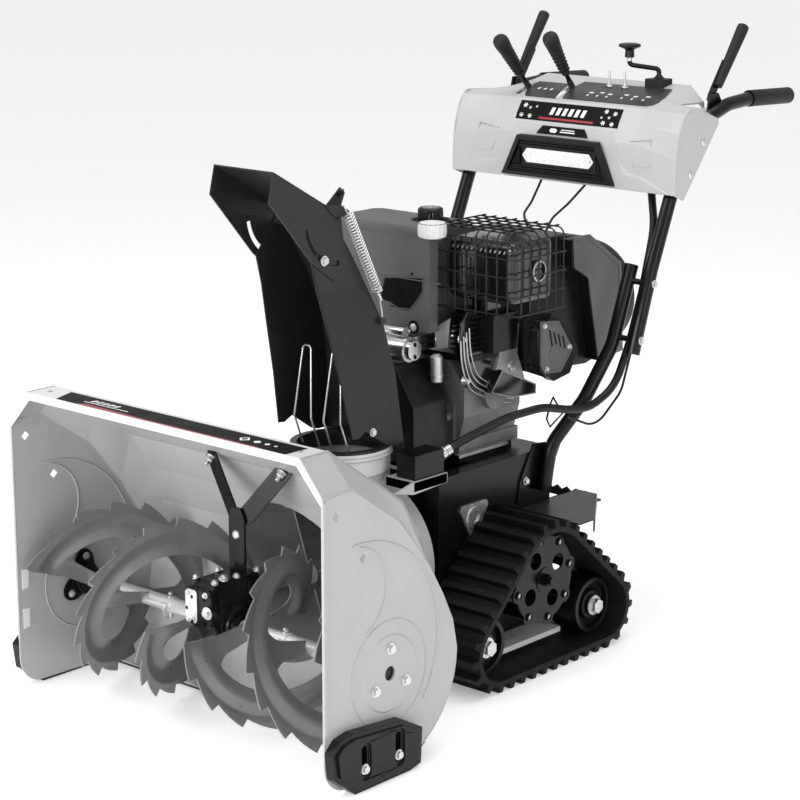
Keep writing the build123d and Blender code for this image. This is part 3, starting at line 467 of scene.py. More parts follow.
def arc(centre, radius, first, last, steps):
    """Points on an arc; angles are in degrees."""
    angles = [radians(first + (last - first) * i / steps) for i in range(steps + 1)]
    return [(centre[0] + radius * cos(a), centre[1] + radius * sin(a)) for a in angles]


def at_x(x, line):
    """Points at one X from a line of Y, Z."""
    return [(x, y, z) for y, z in line]


def at_y(y, line):
    """Points at one Y from a line of X, Z."""
    return [(x, y, z) for x, z in line]


# Augers

# Radii of the ribbon's rows, from its inner edge to the foot of the teeth.
BAND = (100, 104, 109, 115, 122, 129, 135, 140, 143.5, 147, 152)
# Angles in degrees: a flight's sweep, one tooth and its steep flank, half a spoke and its flare.
SWEEP, TOOTH, FLANK, SPOKE, FLARE = 345.0, 23.0, 1.4, 8.5, 11.5
SPOKES = (12.0, SWEEP / 2, SWEEP - 12.0)
TOOTH_FOOT, TOOTH_HEIGHT = 154, 16.5
# Distance of a flight's inner end from the middle plane, and how far it runs outward.
FLIGHT_START, FLIGHT_RUN = 50, 325.8


def flight(shape, side, first):
    """One stamped, saw-toothed flight from the gearbox out to the side plate."""
    turns = {TOOTH * k + s for k in range(15) for s in (0.0, FLANK, 6.0, 12.0, 18.0)}
    for near in (0, 5, SPOKE, 9.5, 12, 16, 20):
        turns |= {at + d for at in SPOKES for d in (-near, near)}
    turns = sorted(t for t in turns | {SWEEP} if 0 <= t <= SWEEP)
    front, back = [], []
    for turned in turns:
        share = turned % TOOTH
        if turned == SWEEP:
            outer = 156
        elif share < FLANK:
            outer = TOOTH_FOOT + TOOTH_HEIGHT * share / FLANK
        else:
            outer = TOOTH_FOOT + TOOTH_HEIGHT - TOOTH_HEIGHT * (share - FLANK) / (TOOTH - FLANK)
        reach = FLIGHT_START + FLIGHT_RUN * (1 - turned / SWEEP)
        spoke = min(SPOKES, key=lambda at: abs(turned - at))
        away = abs(turned - spoke)
        inner = 13.0
        if away > SPOKE:
            open_share = min(1.0, (away - SPOKE) / FLARE)
            inner = 58 + 42 * (1 - (1 - open_share) ** 2) ** 0.5
        band = [inner, inner + (100 - inner) * 0.33, inner + (100 - inner) * 0.66, *BAND, outer]
        ends = min(1.0, turned / 9.0, (SWEEP - turned) / 9.0)
        rows = ([], [])
        for radius in band:
            angle = radians(first + turned)
            if radius < 100 and away < 20.1:
                lean = sin(radians(turned - spoke)) * 100 * (0.8 + 0.002 * radius) / radius
                # A spoke keeps its width on the way in to the shaft.
                angle = radians(first + spoke) + asin(max(-0.95, min(0.95, lean)))
            # Pressed groove and outer ridge along the ribbon, and the lip of its inner edge.
            groove = -8.5 * exp(-((radius - 121) / 12.0) ** 2)
            ridge = 2.6 * exp(-((radius - 145) / 3.4) ** 2)
            lip = 3.5 * exp(-((radius - 100) / 5.0) ** 2)
            bulge = (groove + ridge + lip) * ends
            for row, half in zip(rows, (1.6, -1.6)):
                row.append((side * (reach + half - bulge), HUB[0] - radius * cos(angle),
                            HUB[1] + radius * sin(angle)))
        front.append(rows[0])
        back.append(rows[1])
    shape.rings([a + b[::-1] for a, b in zip(front, back)])


def make_augers():
    for side, label in ((1, "left"), (-1, "right")):
        shape = Shape()
        for first in (19.0, 199.0):
            flight(shape, side, first)
        piece = shape.make("auger_flights_" + label, ["dark_steel"], body="auger",
                           angle=50, merge=0.02)
        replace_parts(piece, "auger_" + label)
    sleeves = Shape()
    for side in SIDES:
        sleeves.turned((side * 44, *HUB), (side, 0, 0), [(0, 13), (1, 14), (331, 14), (332, 13)])
        x = side * 150
        sleeves.turned((x, *HUB), (side, 0, 0), [(-13, 14.3), (-11, 16), (11, 16), (13, 14.3)])
        sleeves.hexagon((x, HUB[0], HUB[1] + 15), UP, 6, 5, 1, 1.2)
        sleeves.turned((x, HUB[0], HUB[1] - 27), UP, [(0, 2.4), (0.8, 3.2), (14, 3.2)], 1, 16)
        clip = [(x + dx, HUB[0] + dy, HUB[1] + dz) for dx, dy, dz in ((1, -3, -24), (3, -17, -20),
                                                                      (5, -22, -4), (4, -19, 8),
                                                                      (-1, -17, 2), (-3, -18, -10),
                                                                      (-2, -12, -24))]
        sleeves.tube(curve(clip, 6), 1.0, 1)
    sleeves.make("auger_sleeves", ["sleeve_metal", "steel"], body="auger")


# Housing

def make_plates():
    """Beads, rims and slot plates of the side plates, and the housing's front lip."""
    trim = Shape()
    for side in SIDES:
        # Crescent bead and edge groove pressed into each side plate.
        outer = arc((-690, 232), 201, 95, -36, 26)
        inner = arc((-705, 347), 82, 78, -66, 16)
        ring = arc(HUB, 96, 0, 360, 40)[:-1]
        for face in (400.2, 396.6):
            trim.tube(at_x(side * face, outer), 2.2)
            trim.tube(at_x(side * face, inner), 1.9)
            trim.tube(at_x(side * face, ring), 1.4, joined=True)
        rim = [(-777.5, 100), (-777.5, 528), (-708, 529.5), (-590, 448), (-514, 354), (-477, 294),
               (-449.5, 239), (-438, 184.5)] + arc(HUB, 178, -2, -86, 12)
        trim.tube(at_x(side * 398.6, rim), 2.6)
        for z in (118, 196):
            trim.prism("x", [(-768, z), (-754, z + 2), (-752, z + 38), (-768, z + 40)],
                       side * 395.4, side * 396.9, 1)
    trim.make("plate_beads", ["grey_paint", "lip_paint"], angle=60)

    lip = Shape()
    front = [(-397, 517), (-397, 531), (-348, 589.2), (348, 589.2), (397, 531), (397, 517),
             (341.5, 577), (-341.5, 577)]
    lip.prism("y", front, -779.5, -778.9)
    lip.tube(at_y(-778.2, ((-397, 530), (-348, 588), (348, 588), (397, 530))), 2.2, 0, 10)
    lip.prism("z", [(-346, -777), (346, -777), (346, -714), (-346, -714)], 590.05, 590.5)
    lip.make("front_lip", ["lip_paint"])


def make_housing_decal():
    """Plain bars and diamonds on a black band along the top edge."""
    decal = Shape()

    def mark(outline, finish, lift=0.0):
        decal.prism("z", outline, DECAL_TOP + lift, DECAL_TOP + lift + 0.2, finish)

    decal.prism("z", [(-268, -776), (313, -776), (315, -724), (-287, -724)], 590.5, DECAL_TOP)
    mark([(-215, -776.2), (250, -776.2), (250, -773.2), (-30, -772), (-198, -765.5)], 1)
    for x in range(-205, -144, 15):
        mark([(x, -750), (x + 8, -750), (x + 13, -738), (x + 5, -738)], 2)
    mark([(-214, -757), (-96, -757), (-97, -754.5), (-213, -754.5)], 2)
    for x, size in ((192, 12), (222, 8), (246, 6), (266, 4)):
        mark([(x, -750 - size), (x + size, -750), (x, -750 + size), (x - size, -750)], 2)
    mark([(186, -750), (192, -757), (198, -750), (192, -743)], 0, 0.2)
    decal.make("housing_decal", ["decal_black", "decal_red", "decal_white"])


def make_housing_seams():
    seams = Shape()
    for side in SIDES:
        seams.tube(at_x(side * 348.6, ((-777, 590.4), (-712, 590.4), (-615, 524.6), (-526, 463.6),
                                       (-480, 390.6))), 1.2, 0, 6)
    seams.box((108, -300, 396.4), (178, -205, 415.4))
    seams.prism("x", [(-352, 404), (-300, 392), (-204, 397), (-204, 415.6),
                      (-300, 415.6)], 172.4, 178)
    seams.make("housing_seams", ["grey_paint"], 0.6)


def make_gearbox():
    bolts = Shape()
    for x, y, z in ((-96, -556, 468), (77, -545, 467)):
        bolts.hexagon((x, y, z), (0, -0.75, -0.6), 8, 8, 0, 2)
        bolts.turned((x, y, z), (0, -0.75, -0.6), [(8, 4.2), (18, 4.2), (19, 3.4)], 0, 14)
    bolts.turned((0, -588, 345), FORWARD, [(0, 9), (2, 8.5), (4.5, 6), (5.5, 0.5)], 0, 24)
    for x, z in ((-22, 256), (22, 258), (-22, 205)):
        bolts.hexagon((x, -689.4, z), FORWARD, 4.4, 4, 0, 1.0)
    bolts.hexagon((27, -689.4, 226), FORWARD, 8, 6.5, 0, 2.2, 1.5)
    for y in (-668, -613, -562):
        bolts.hexagon((24, y, 276), (0.35, 0, 1), 5.2, 5, 0, 1.4)
        bolts.hexagon((-24, y, 276), (-0.35, 0, 1), 5.2, 5, 0, 1.4)
    bolts.hexagon((24, -646, 279), (0.35, 0, 1), 6.2, 5, 0, 2.6, 1.5)
    bolts.make("gearbox_bolts", ["zinc"], 0.3)

    case = Shape()
    body = [(-676, 196), (-676, 262), (-664, 276), (-560, 276), (-552, 262), (-552, 214),
            (-572, 196), (-574, 176), (-584, 158), (-600, 144), (-616, 139.5), (-636, 142),
            (-652, 152), (-662, 170)]
    case.prism("x", body, -27, 27)
    case.prism("y", [(-34, 208), (-27, 193), (27, 193), (34, 208), (34, 250), (27, 266),
                     (-27, 266), (-34, 250)], -686.1, -674)
    case.make("gearbox_shell", ["black_paint"], 5.0, segments=4)
    bosses = Shape()
    for side in SIDES:
        bosses.turned((side * 26, *HUB), (side, 0, 0), [(-1, 41), (2, 40), (5, 33), (9, 31),
                                                        (9.4, 24), (15, 23), (15.4, 18)], 0, 40)
        bosses.turned((side * 26, -646, 232), (side, 0, 0),
                      [(-1, 17), (1.6, 16), (2, 12), (3.4, 11)], 0, 30)
        for y in (-660, -585, -567):
            bosses.prism("x", [(y - 2, 262), (y + 2, 262), (y + 2, 214), (y - 2, 214)],
                         side * 26.5, side * 29)
    bosses.make("gearbox_bosses", ["black_paint"], 0.6)


def make_brace():
    """The Y-shaped brace that holds the gearbox; it stands for the plain brace."""
    straps = Shape()
    straps.prism("y", [(-20, 253), (20, 253), (20, 376), (10, 396), (-10, 396),
                       (-20, 376)], -588, -582)
    for near, x, y, z in ((-10, -96, -556, 468), (10, 77, -545, 467)):
        low, high = Vector((near, -583, 372)), Vector((x * 1.12, y + 4, z + 12))
        along = (high - low).normalized()
        out = Vector((0, -0.96, -0.28))
        wide = along.cross(out).normalized()
        rings = []
        for share, half in ((0, 15), (0.12, 17), (0.86, 17), (0.96, 15), (1.0, 8)):
            mid = low.lerp(high, share) - out * 3
            rings.append([mid + wide * half + out * 2.5, mid - wide * half + out * 2.5,
                          mid - wide * half - out * 2.5, mid + wide * half - out * 2.5])
        straps.rings(rings)
    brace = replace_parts(straps.make("brace_straps", ["black_paint"], 1.0), "gearbox_brace")


def make_bearings():
    """Three-lobed bearing flanges inside the side plates."""
    lobes = Shape()
    for side in SIDES:
        for low, high, grow in ((396.9, 391.5, 0), (391.6, 388.5, -4)):
            outline = []
            for k in range(72):
                angle = radians(5 * k)
                radius = 43 + grow + 15 * cos(3 * (angle - radians(90)))
                outline.append((HUB[0] + radius * cos(angle), HUB[1] + radius * sin(angle)))
            lobes.prism("x", outline, side * low, side * high)
        for radius, depth in ((29, 6), (22, 10), (17, 14)):
            lobes.turned((side * 389, *HUB), (-side, 0, 0),
                         [(0, radius), (depth, radius), (depth + 1, radius - 1.2)], 0, 40)
        for angle in (90, 210, 330):
            y, z = HUB[0] + 45 * cos(radians(angle)), HUB[1] + 45 * sin(radians(angle))
            lobes.hexagon((side * 388.4, y, z), (-side, 0, 0), 5.5, 4.5, 1, 1.2)
    lobes.make("bearing_lobes", ["black_paint", "zinc"], 0.6)


def make_gearbox_plate():
    plate = Shape()
    plate.prism("y", [(-31, 209), (-25, 199), (-6, 199), (-1, 206), (-1, 256), (-6, 262),
                      (-25, 262), (-31, 250)], -689.6, -686.0)
    plate.make("gearbox_plate", ["zinc"], 1.2)


# Chute

COIL_TURNS, COIL_RADIUS, COIL_WIRE = 27, 8.6, 1.45


def make_spring():
    """The deflector's coil spring with its hook and tail."""
    coil = Shape()
    low, high = Vector((88.3, -300, 765)), Vector((88.3, -378, 918))
    axis = (high - low).normalized()
    side = axis.orthogonal().normalized()
    up = axis.cross(side)
    points = []
    for i in range(COIL_TURNS * 12 + 1):
        share = i / (COIL_TURNS * 12)
        angle = 2 * pi * COIL_TURNS * share
        points.append(low.lerp(high, share) + (side * cos(angle) + up * sin(angle)) * COIL_RADIUS)
    coil.tube(points, COIL_WIRE)
    hook = [points[-1], high + axis * 3, high + axis * 7 + Vector((-2, 0, 0)), (84, -386, 934),
            (79.6, -388, 938)]
    coil.tube(curve(hook, 5), 1.2)
    tail = [points[0], low - axis * 3, (86, -291, 742), (85, -286, 726), (84, -284, 714),
            (80, -284, 707)]
    coil.tube(curve(tail, 6), 1.6)
    coil.turned(low - axis * 20, axis, [(0, 2.6), (1, 3.4), (14, 3.4), (15, 2.6)], 0, 14)
    coil = coil.make("spring_coil", ["zinc"], body=frame["nodes"]["deflector_spring"]["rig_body"])
    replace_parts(coil, "deflector_spring")


def make_chute_edges():
    marks = Shape()
    for side in SIDES:
        marks.tube([(side * 93, -382, 520), (side * 87, -398, 605), (side * 78.5, -423, 705),
                    (side * 70.9, -442, 780), (side * 70.6, -455, 830)], 1.6)
    marks.turned((*NECK, 455.2), UP, [(0, 97.4), (3, 98.2), (6, 97.4), (7, 96)], 1, 72, False)
    marks.make("chute_edges", ["black_paint", "lip_paint"], body="chute")

    neck = Shape()
    neck.turned((*NECK, 418), UP, [(0, 94.5), (28, 94.5), (32, 99), (37.2, 99.2)], 0, 72, False)
    neck.make("neck_flange", ["lip_paint"])

    rim = Shape()
    for side in SIDES:
        rim.tube(at_x(side * 74, ((-554, 1011), (-427, 940), (-386, 925))), 1.5)
    tab = [(-424, 939.5), (-399, 958), (-388, 953.5), (-388, 936)]
    rim.prism("x", tab, 78.1, 79.4)
    rim.tube([(79, -393, 952), (84, -392, 958), (88, -393, 965)], 3.4, 0, 12)
    rim.make("deflector_edges", ["black_paint"], body="deflector")


# Control panel

def on_face(height, lift=0.0):
    """Y, Z of the panel's middle profile at a length along it, lifted off its face."""
    for (y0, z0), (y1, z1) in zip(FACE, FACE[1:]):
        length = hypot(y1 - y0, z1 - z0)
        if height <= length or (y1, z1) == FACE[-1]:
            share = height / length
            normal = (-(z1 - z0) / length, (y1 - y0) / length)
            return (y0 + (y1 - y0) * share + normal[0] * lift,
                    z0 + (z1 - z0) * share + normal[1] * lift)
        height -= length


def face_length(z):
    """Length along the profile up to a height."""
    total = 0
    for (y0, z0), (y1, z1) in zip(FACE, FACE[1:]):
        length = hypot(y1 - y0, z1 - z0)
        if z <= z1:
            return total + length * (z - z0) / (z1 - z0)
        total += length
    return total


def patch(shape, rows, lift, thick, finish=0):
    """A thin plate laid on the panel: rows are (height Z, low X, high X)."""
    columns = 10
    stations = []
    for (z0, a0, b0), (z1, a1, b1) in zip(rows, rows[1:]):
        for k in range(4):
            t = k / 4
            stations.append((z0 + (z1 - z0) * t, a0 + (a1 - a0) * t, b0 + (b1 - b0) * t))
    stations.append(rows[-1])
    rings = []
    for z, low, high in stations:
        top, under = [], []
        for k in range(columns + 1):
            x = low + (high - low) * k / columns
            y, height = on_face(face_length(z), lift + thick)
            top.append((x, y, height))
            y, height = on_face(face_length(z), lift)
            under.append((x, y, height))
        rings.append(top + under[::-1])
    shape.rings(rings, finish)


def make_panel_inlays():
    """Dark inlays around the levers and the crank, with small plain marks."""
    inlays = Shape()
    patch(inlays, [(1051.5, -36, 176), (1054, -40, 188), (1059, -46, 192), (1066, -53, 186),
                   (1072, -56, 176), (1076, -56, 168)], 0.2, 1.2)
    patch(inlays, [(1050.5, -132, -54), (1054, -141, -57), (1060, -150, -64), (1068, -157, -76),
                   (1071.5, -160, -80)], 0.2, 1.2)
    inlays.make("panel_inlays", ["dark_plastic"])

    signs = Shape()
    for i, x in enumerate((6, 30, 54, 92, 118, 146)):
        patch(signs, [(1062.2 + i % 2, x, x + 10), (1063.6 + i % 2, x, x + 10)], 1.4, 0.15)
        patch(signs, [(1058.2, x + 3, x + 7), (1060.2, x + 3, x + 7)], 1.4, 0.15)
    for x in (-128, -112, -96):
        patch(signs, [(1061.5, x, x + 6), (1063.5, x, x + 6)], 1.4, 0.15)
    signs.make("panel_marks", ["decal_white"])


def make_panel_decal():
    """A black band with plain bars and six-pointed stars, and the badge under it."""
    decal = Shape()
    patch(decal, [(1006.5, -132, 132), (1018, -132, 132), (1030, -132, 132),
                  (1043, -132, 132)], 0.3, 0.4)
    patch(decal, [(1010.2, -70, 66), (1012.2, -74, 70), (1014.2, -70, 66)], 0.7, 0.15, 1)
    for x, z, size in ((-116, 1034, 6), (-102, 1030, 3.5), (-86, 1033, 3), (-119, 1015, 5.5),
                       (-97, 1014, 5.5), (93, 1036, 5.5), (116, 1033, 5.5), (85, 1024, 3),
                       (104, 1025, 3.5), (93, 1014, 5.5), (115, 1013, 5.5)):
        for turn in range(3):
            reach = []
            for end in (-1, 1):
                for bend in (-0.16, 0.16):
                    angle = pi * turn / 3 + bend
                    dx, dz = end * size * cos(angle), end * size * sin(angle)
                    y, height = on_face(face_length(min(1043.0, z + dz * 0.8)), 0.85)
                    reach.append((x + dx, y, height))
            under = [(a, b + 0.2, c - 0.1) for a, b, c in reach]
            decal.rings([reach, under], 2)
    for x in range(-48, 33, 16):
        patch(decal, [(1020, x, x + 9), (1034, x + 3, x + 12)], 0.7, 0.15, 2)
    decal.make("panel_decal", ["decal_black", "decal_red", "decal_white"])

    badge = Shape()
    patch(badge, [(981, -67, 67), (997.5, -54, 54)], 3.4, 0.6)
    patch(badge, [(985, -30, -18), (989, -34, -14), (993, -30, -18)], 4.0, 0.15, 1)
    patch(badge, [(986.5, -6, 32), (988.5, -6, 32)], 4.0, 0.15, 1)
    patch(badge, [(991, -4, 30), (992.6, -4, 30)], 4.0, 0.15, 1)
    badge.make("panel_badge", ["decal_black", "decal_white"])


def on_front(x, z, lift):
    """A point on the panel's front face, lifted off it."""
    share = max(0.0, (abs(x) - 185) / 103)
    middle = 354 + (z - 888) * 8 / 92 if z < 980 else 362 + (z - 980) * 15 / 38
    flank = 352 + (z - 888) * 4 / 72
    return (x, middle * (1 - share) + flank * share - lift, z)


def make_panel_relief():
    """The raised lower front, the pressed fields beside the lamp and the beads at the ends."""
    relief = Shape()
    flank = [(-278, 889), (-262, 894), (-206, 917), (-169, 922), (-160, 930),
             (-126, 994), (-120, 1000)]
    raised = flank + [(-x, z) for x, z in flank[::-1]]
    columns = []
    for k in range(81):
        x = -276 + 552 * k / 80
        top = 889.0
        for (x0, z0), (x1, z1) in zip(raised, raised[1:]):
            if x0 <= x <= x1:
                top = z0 + (z1 - z0) * (x - x0) / (x1 - x0)
        heights = [889 + (top - 889) * t for t in (0, 0.25, 0.5, 0.75, 1.0)]
        crest = min(999.5, top + 3)
        outer = [on_front(x, z, 3.2) for z in heights] + [on_front(x, crest, 0.6)]
        columns.append(outer + [on_front(x, z, -1.0) for z in [crest] + heights[::-1]])
    relief.rings(columns)
    for side in SIDES:
        field = ((170, 985), (222, 992), (226, 939), (184, 937))
        relief.tube([on_front(side * x, z, -0.4) for x, z in field], 1.6, joined=True)
        edge = ((354, 889), (357, 960), (367, 1009), (386, 1044), (415, 1052), (499, 1026))
        relief.tube(curve(at_x(side * 287, edge), 4), 1.8)
    relief.make("panel_relief", ["panel_paint"], angle=50)


def make_panel_parts():
    """Bolts, switch nuts, the crank's base and the rubber boots of the hand levers."""
    caps = Shape()
    for side in SIDES:
        for y, z in ((449, 984), (407, 923)):
            caps.turned((side * 288, y, z), (side, 0, 0),
                        [(0, 7.4), (2, 7.2), (3.6, 5.4), (4.4, 1)], 0, 28)
    for x in (20, 60):
        caps.hexagon((x, 494, 1074), (0, 0.1, 1), 6.5, 4, 0, 1.4)
        caps.turned((x, 493.6, 1078), (0, -0.1, 1), [(0, 4.2), (5, 4.0), (6, 3.2)], 0, 20)
    caps.make("panel_bolts", ["zinc"], 0.2)

    sleeve = Shape()
    sleeve.prism("z", [(99, 507), (141, 507), (141, 547), (99, 547)], 1068, 1094.6)
    sleeve.turned((120, 528, 1094), UP, [(0, 12), (3, 11), (3.6, 8), (7, 7.4), (7.6, 5.6)])
    sleeve.make("crank_base", ["black_plastic"], 1.5)

    for name, x, foot, head in LEVERS:
        boots = Shape()
        base = Vector((x, *foot))
        along = (Vector((x, *head)) - base).normalized()
        boots.turned(base - along * 4, along, [(0, 6.2), (2, 7.2), (5, 6.0), (8, 7.0), (11, 5.9),
                                               (14, 6.8), (17, 5.7), (22, 5.4)], 0, 24)
        boots.make(name + "_boot", ["grip_rubber"], body=name)


def make_lamp():
    bezel = Shape()
    outer = [(-143, 894), (-103, 978), (103, 978), (143, 894)]
    inner = [(-128, 902), (-96, 970), (96, 970), (128, 902)]
    for i in range(4):
        j = (i + 1) % 4
        side = [outer[i], outer[j], inner[j], inner[i]]
        bezel.rings([[(a, 339.5, b) for a, b in side], [(a, 345, b) for a, b in side]])
    for z in (903, 908, 913, 957, 962, 967):
        half = 128 - (z - 902) * 0.47
        bezel.box((-half, 342.5, z), (half, 348.6, z + 2.2))
    for sign in SIDES:
        for k in range(6):
            x = sign * (104 + 3.4 * k - 6)
            top = 950 - 5.4 * k
            bezel.box((min(x, x + sign * 1.6), 342.5, 918), (max(x, x + sign * 1.6), 348.6, top))
    bezel.make("lamp_bezel", ["black_plastic"], 0.6)

    leds = Shape()
    for z in (931, 943.5):
        for x in range(-72, 73, 18):
            leds.turned((x, 345.6, z), FORWARD, [(0, 6.2), (0.8, 5.9), (1.2, 4.4), (0.7, 3.4),
                                                 (1.6, 2.4), (2.2, 0.4)], 0, 20)
    for x in (-84, 84):
        leds.turned((x, 345.6, 937), FORWARD, [(0, 2.6), (1, 2.2), (1.2, 0.3)], 1, 14)
    leds.make("lamp_leds", ["lens", "zinc"])


# Angle of the clutch levers from the ground, in degrees.
CLUTCH_LEAN = 54.5


def make_hand_levers():
    """Ribbed grips of the speed and deflector levers."""
    for name, x, foot, head in LEVERS:
        base, tip = Vector((x, *foot)), Vector((x, *head))
        along = (tip - base).normalized()
        length = (tip - base).length
        shape = Shape()
        shape.tube([base - along * 36, base + along * 46], 4.8, 1, 20)
        shape.turned((x - 8, *(base - along * 36)[1:]), RIGHT,
                     [(0, 7.4), (0.8, 8), (15.2, 8), (16, 7.4)], 1, 24)
        grip = [(34, 6.4), (35, 8.2), (38, 8.8), (60, 10.4), (86, 12.6), (length - 34, 15.2),
                (length - 22, 16.6), (length - 14, 16.8), (length - 8, 15.6), (length - 3.5, 12.6),
                (length - 0.8, 7.5), (length - 0.1, 2)]
        shape.turned(base, along, grip, 0, 36)
        for at in range(44, 99, 9):
            radius = 9.3 + at * 0.052
            shape.turned(base, along, [(at, radius - 0.4), (at + 1, radius + 0.5),
                                       (at + 2, radius - 0.4)], 0, 30)
        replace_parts(shape.make(name + "_grip", ["grip_rubber", "black_paint"], body=name),
                            name)


def make_clutch_levers():
    up, back = sin(radians(CLUTCH_LEAN)), cos(radians(CLUTCH_LEAN))
    axis, across = Vector((0, back, up)), Vector((0, -up, back))
    pivot = Vector((0, 527, 1065))
    for side, label in ((1, "left"), (-1, "right")):
        shape = Shape()
        plate = [pivot + axis * along + across * half for along,
                 half in ((-10, 7), (-10, -7), (4, -10), (84, -9), (84, 9), (4, 10))]
        shape.prism("x", [(p.y, p.z) for p in plate], side * 247, side * 251.4, 1)
        grip = [(26, 6.5), (27, 8.6), (31, 9.2), (80, 10.4), (120, 11.3), (152, 12.1), (163, 12.4),
                (169, 11.6), (171.6, 8), (172, 2)]
        foot = pivot + Vector((side * 255.2, 0, 0))
        tilt = (axis * 172 + Vector((side * 2.8, 0, 0))).normalized()
        shape.turned(foot, tilt, grip)
        for place in range(78, 149, 10):
            radius = 8.95 + place * 0.0195
            shape.turned(foot, tilt, [(place, radius - 0.9), (place + 1, radius + 0.1),
                                      (place + 2, radius - 0.9)], 0, 28)
        piece = shape.make("clutch_grip_" + label, ["grip_rubber", "black_paint"],
                           body="clutch_lever_" + label)
        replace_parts(piece, "clutch_lever_" + label)


def make_crank_knob():
    knob = Shape()
    knob.turned((80, 479, 1139), UP, [(0, 9.6), (2, 10), (14, 9), (17, 12), (20, 19), (21.5, 22),
                                      (24, 22.9), (27, 22), (28.6, 15), (29, 4)], 0, 40)
    knob.turned((80, 479, 1132), UP, [(0, 5.4), (3, 5.4), (7, 6.5)], 1, 24)
    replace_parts(knob.make("crank_grip", ["black_plastic", "zinc"], body="crank_knob"),
                        "crank_knob")


# Engine

def ribbed(shape, centre, ribs, rows):
    """An upright knob with ribs round it: rows are (height, radius, rib depth)."""
    count = 6 * ribs
    rings = []
    for height, base, depth in rows:
        ring = []
        for k in range(count):
            angle = 2 * pi * k / count
            radius = base - depth * (0.5 - 0.5 * cos(ribs * angle))
            ring.append((centre[0] + radius * cos(angle), centre[1] + radius * sin(angle), height))
        rings.append(ring)
    shape.rings(rings)


def make_tank():
    knob = Shape()
    ribbed(knob, OIL_KNOB, 16, ((840.6, 26.2, 0.0), (843, 27.4, 0.9), (850, 28.0, 1.5),
                                (860, 27.8, 1.4), (865, 27.0, 0.7), (867.6, 24.5, 0.2),
                                (868.4, 20, 0.0)))
    knob.turned((*OIL_KNOB, 838), UP, [(0, 20), (3, 19), (3.4, 15)], 0, 40)
    knob.turned((*OIL_KNOB, 868), UP, [(0, 15.5), (1.4, 15), (1.8, 12.5), (0.9, 11)], 0, 40)
    knob.make("oil_knob", ["ivory_plastic"], angle=30)

    seams = Shape()
    seams.tube([(x, -110.6, 750) for x in (-150, 0, 60, 78)], 1.4)
    seams.tube([(x, -110.4, 836) for x in (-150, 0, 60, 78)], 1.8)
    notch = [(-66, 746), (-13, 753), (33, 757), (33, 728), (1, 691), (-31, 689),
             (-52, 697), (-80, 700)]
    seams.tube(at_y(-110.4, notch), 1.5, joined=True)
    seams.make("tank_seams", ["graphite"], angle=60)

    # Thin near-black sheet and discs of painted shade where the notch recess and the stud's pocket
    # fall dark.
    recess = Shape()
    recess.prism("y", [(-64, 744), (-13, 751), (31, 755), (31, 729), (0, 693), (-31, 691),
                       (-51, 699), (-76, 702)], -110.9, -109.6)
    recess.turned((10, -110.2, 657), FORWARD, [(0, 13), (1.2, 13), (1.6, 11.4)])
    recess.turned((5, -110.2, 761), FORWARD, [(0, 3.2), (0.5, 2.8)], 0, 18)
    recess.make("tank_notch", ["hole_painted_shade"], 0.4)

    cap = Shape()
    ribbed(cap, FUEL_CAP, 20, ((852, 21, 0), (853, 25.2, 1.0), (862, 25.4, 1.8), (871, 24.8, 1.8),
                               (874.6, 22, 0.8), (876.2, 16, 0)))
    cap.make("fuel_cap_ribs", ["gloss_black"], body="fuel_cap", angle=30)

    studs = Shape()
    studs.hexagon((10, -111.6, 657), FORWARD, 6, 4.5, 0, 1.4)
    studs.turned((*FUEL_CAP, 876), UP, [(0, 3), (0.6, 2.6)], 0, 18)
    studs.make("tank_studs", ["zinc"], 0.3)


# Crankcase bolts: Y, Z and the radius of the boss under each.
CASE_BOLTS = ((-72, 640, 8), (40, 640, 8), (52, 520, 8), (-62, 556, 7))


def make_crankcase():
    ribs = Shape()
    lead = [(-86, 640), (-80, 588), (-60, 545), (-26, 522), (36, 497), (70, 490)]
    for k in range(4):
        shift = 7.5 * k
        line = [(108 + 1.5 * k, y + shift * 0.9, z + shift) for y, z in lead]
        ribs.tube(curve(line, 6), 1.6)
    ribs.turned((60, -100, 554), UP,
                [(0, 10.5), (1.5, 12), (50, 12), (52, 10.5), (53, 7.5), (55, 7)])
    ribs.turned((60, -100, 566), UP, [(0, 13.2), (4, 13.2)])
    ribs.prism("y", [(38, 654), (79, 680), (72, 620), (49, 614)], -84, -80)
    ribs.box((86, -78, 402), (100.2, 72, 408.4))
    for y, z, radius in CASE_BOLTS:
        ribs.turned((98, y, z), RIGHT, [(0, radius + 3), (6, radius), (9, radius - 1)], 0, 24)
    ribs.prism("x", [(26, 656), (83, 648), (79, 590), (104, 532), (56, 540), (14, 566),
                     (32, 611)], 104, 116)
    ribs.turned((112, 56, 622), RIGHT, [(0, 15), (8, 13), (8.6, 9), (4, 8)])
    ribs.turned((112, 62, 566), RIGHT, [(0, 12), (7, 10.5), (7.6, 6)], 0, 28)
    ribs.make("crankcase_ribs", ["cast_aluminium"], 0.5)

    bolts = Shape()
    for y, z, _ in CASE_BOLTS:
        bolts.hexagon((107, y, z), RIGHT, 4.4, 3.6, 0, 1.0)
    bolts.make("crankcase_bolts", ["zinc"], 0.2)


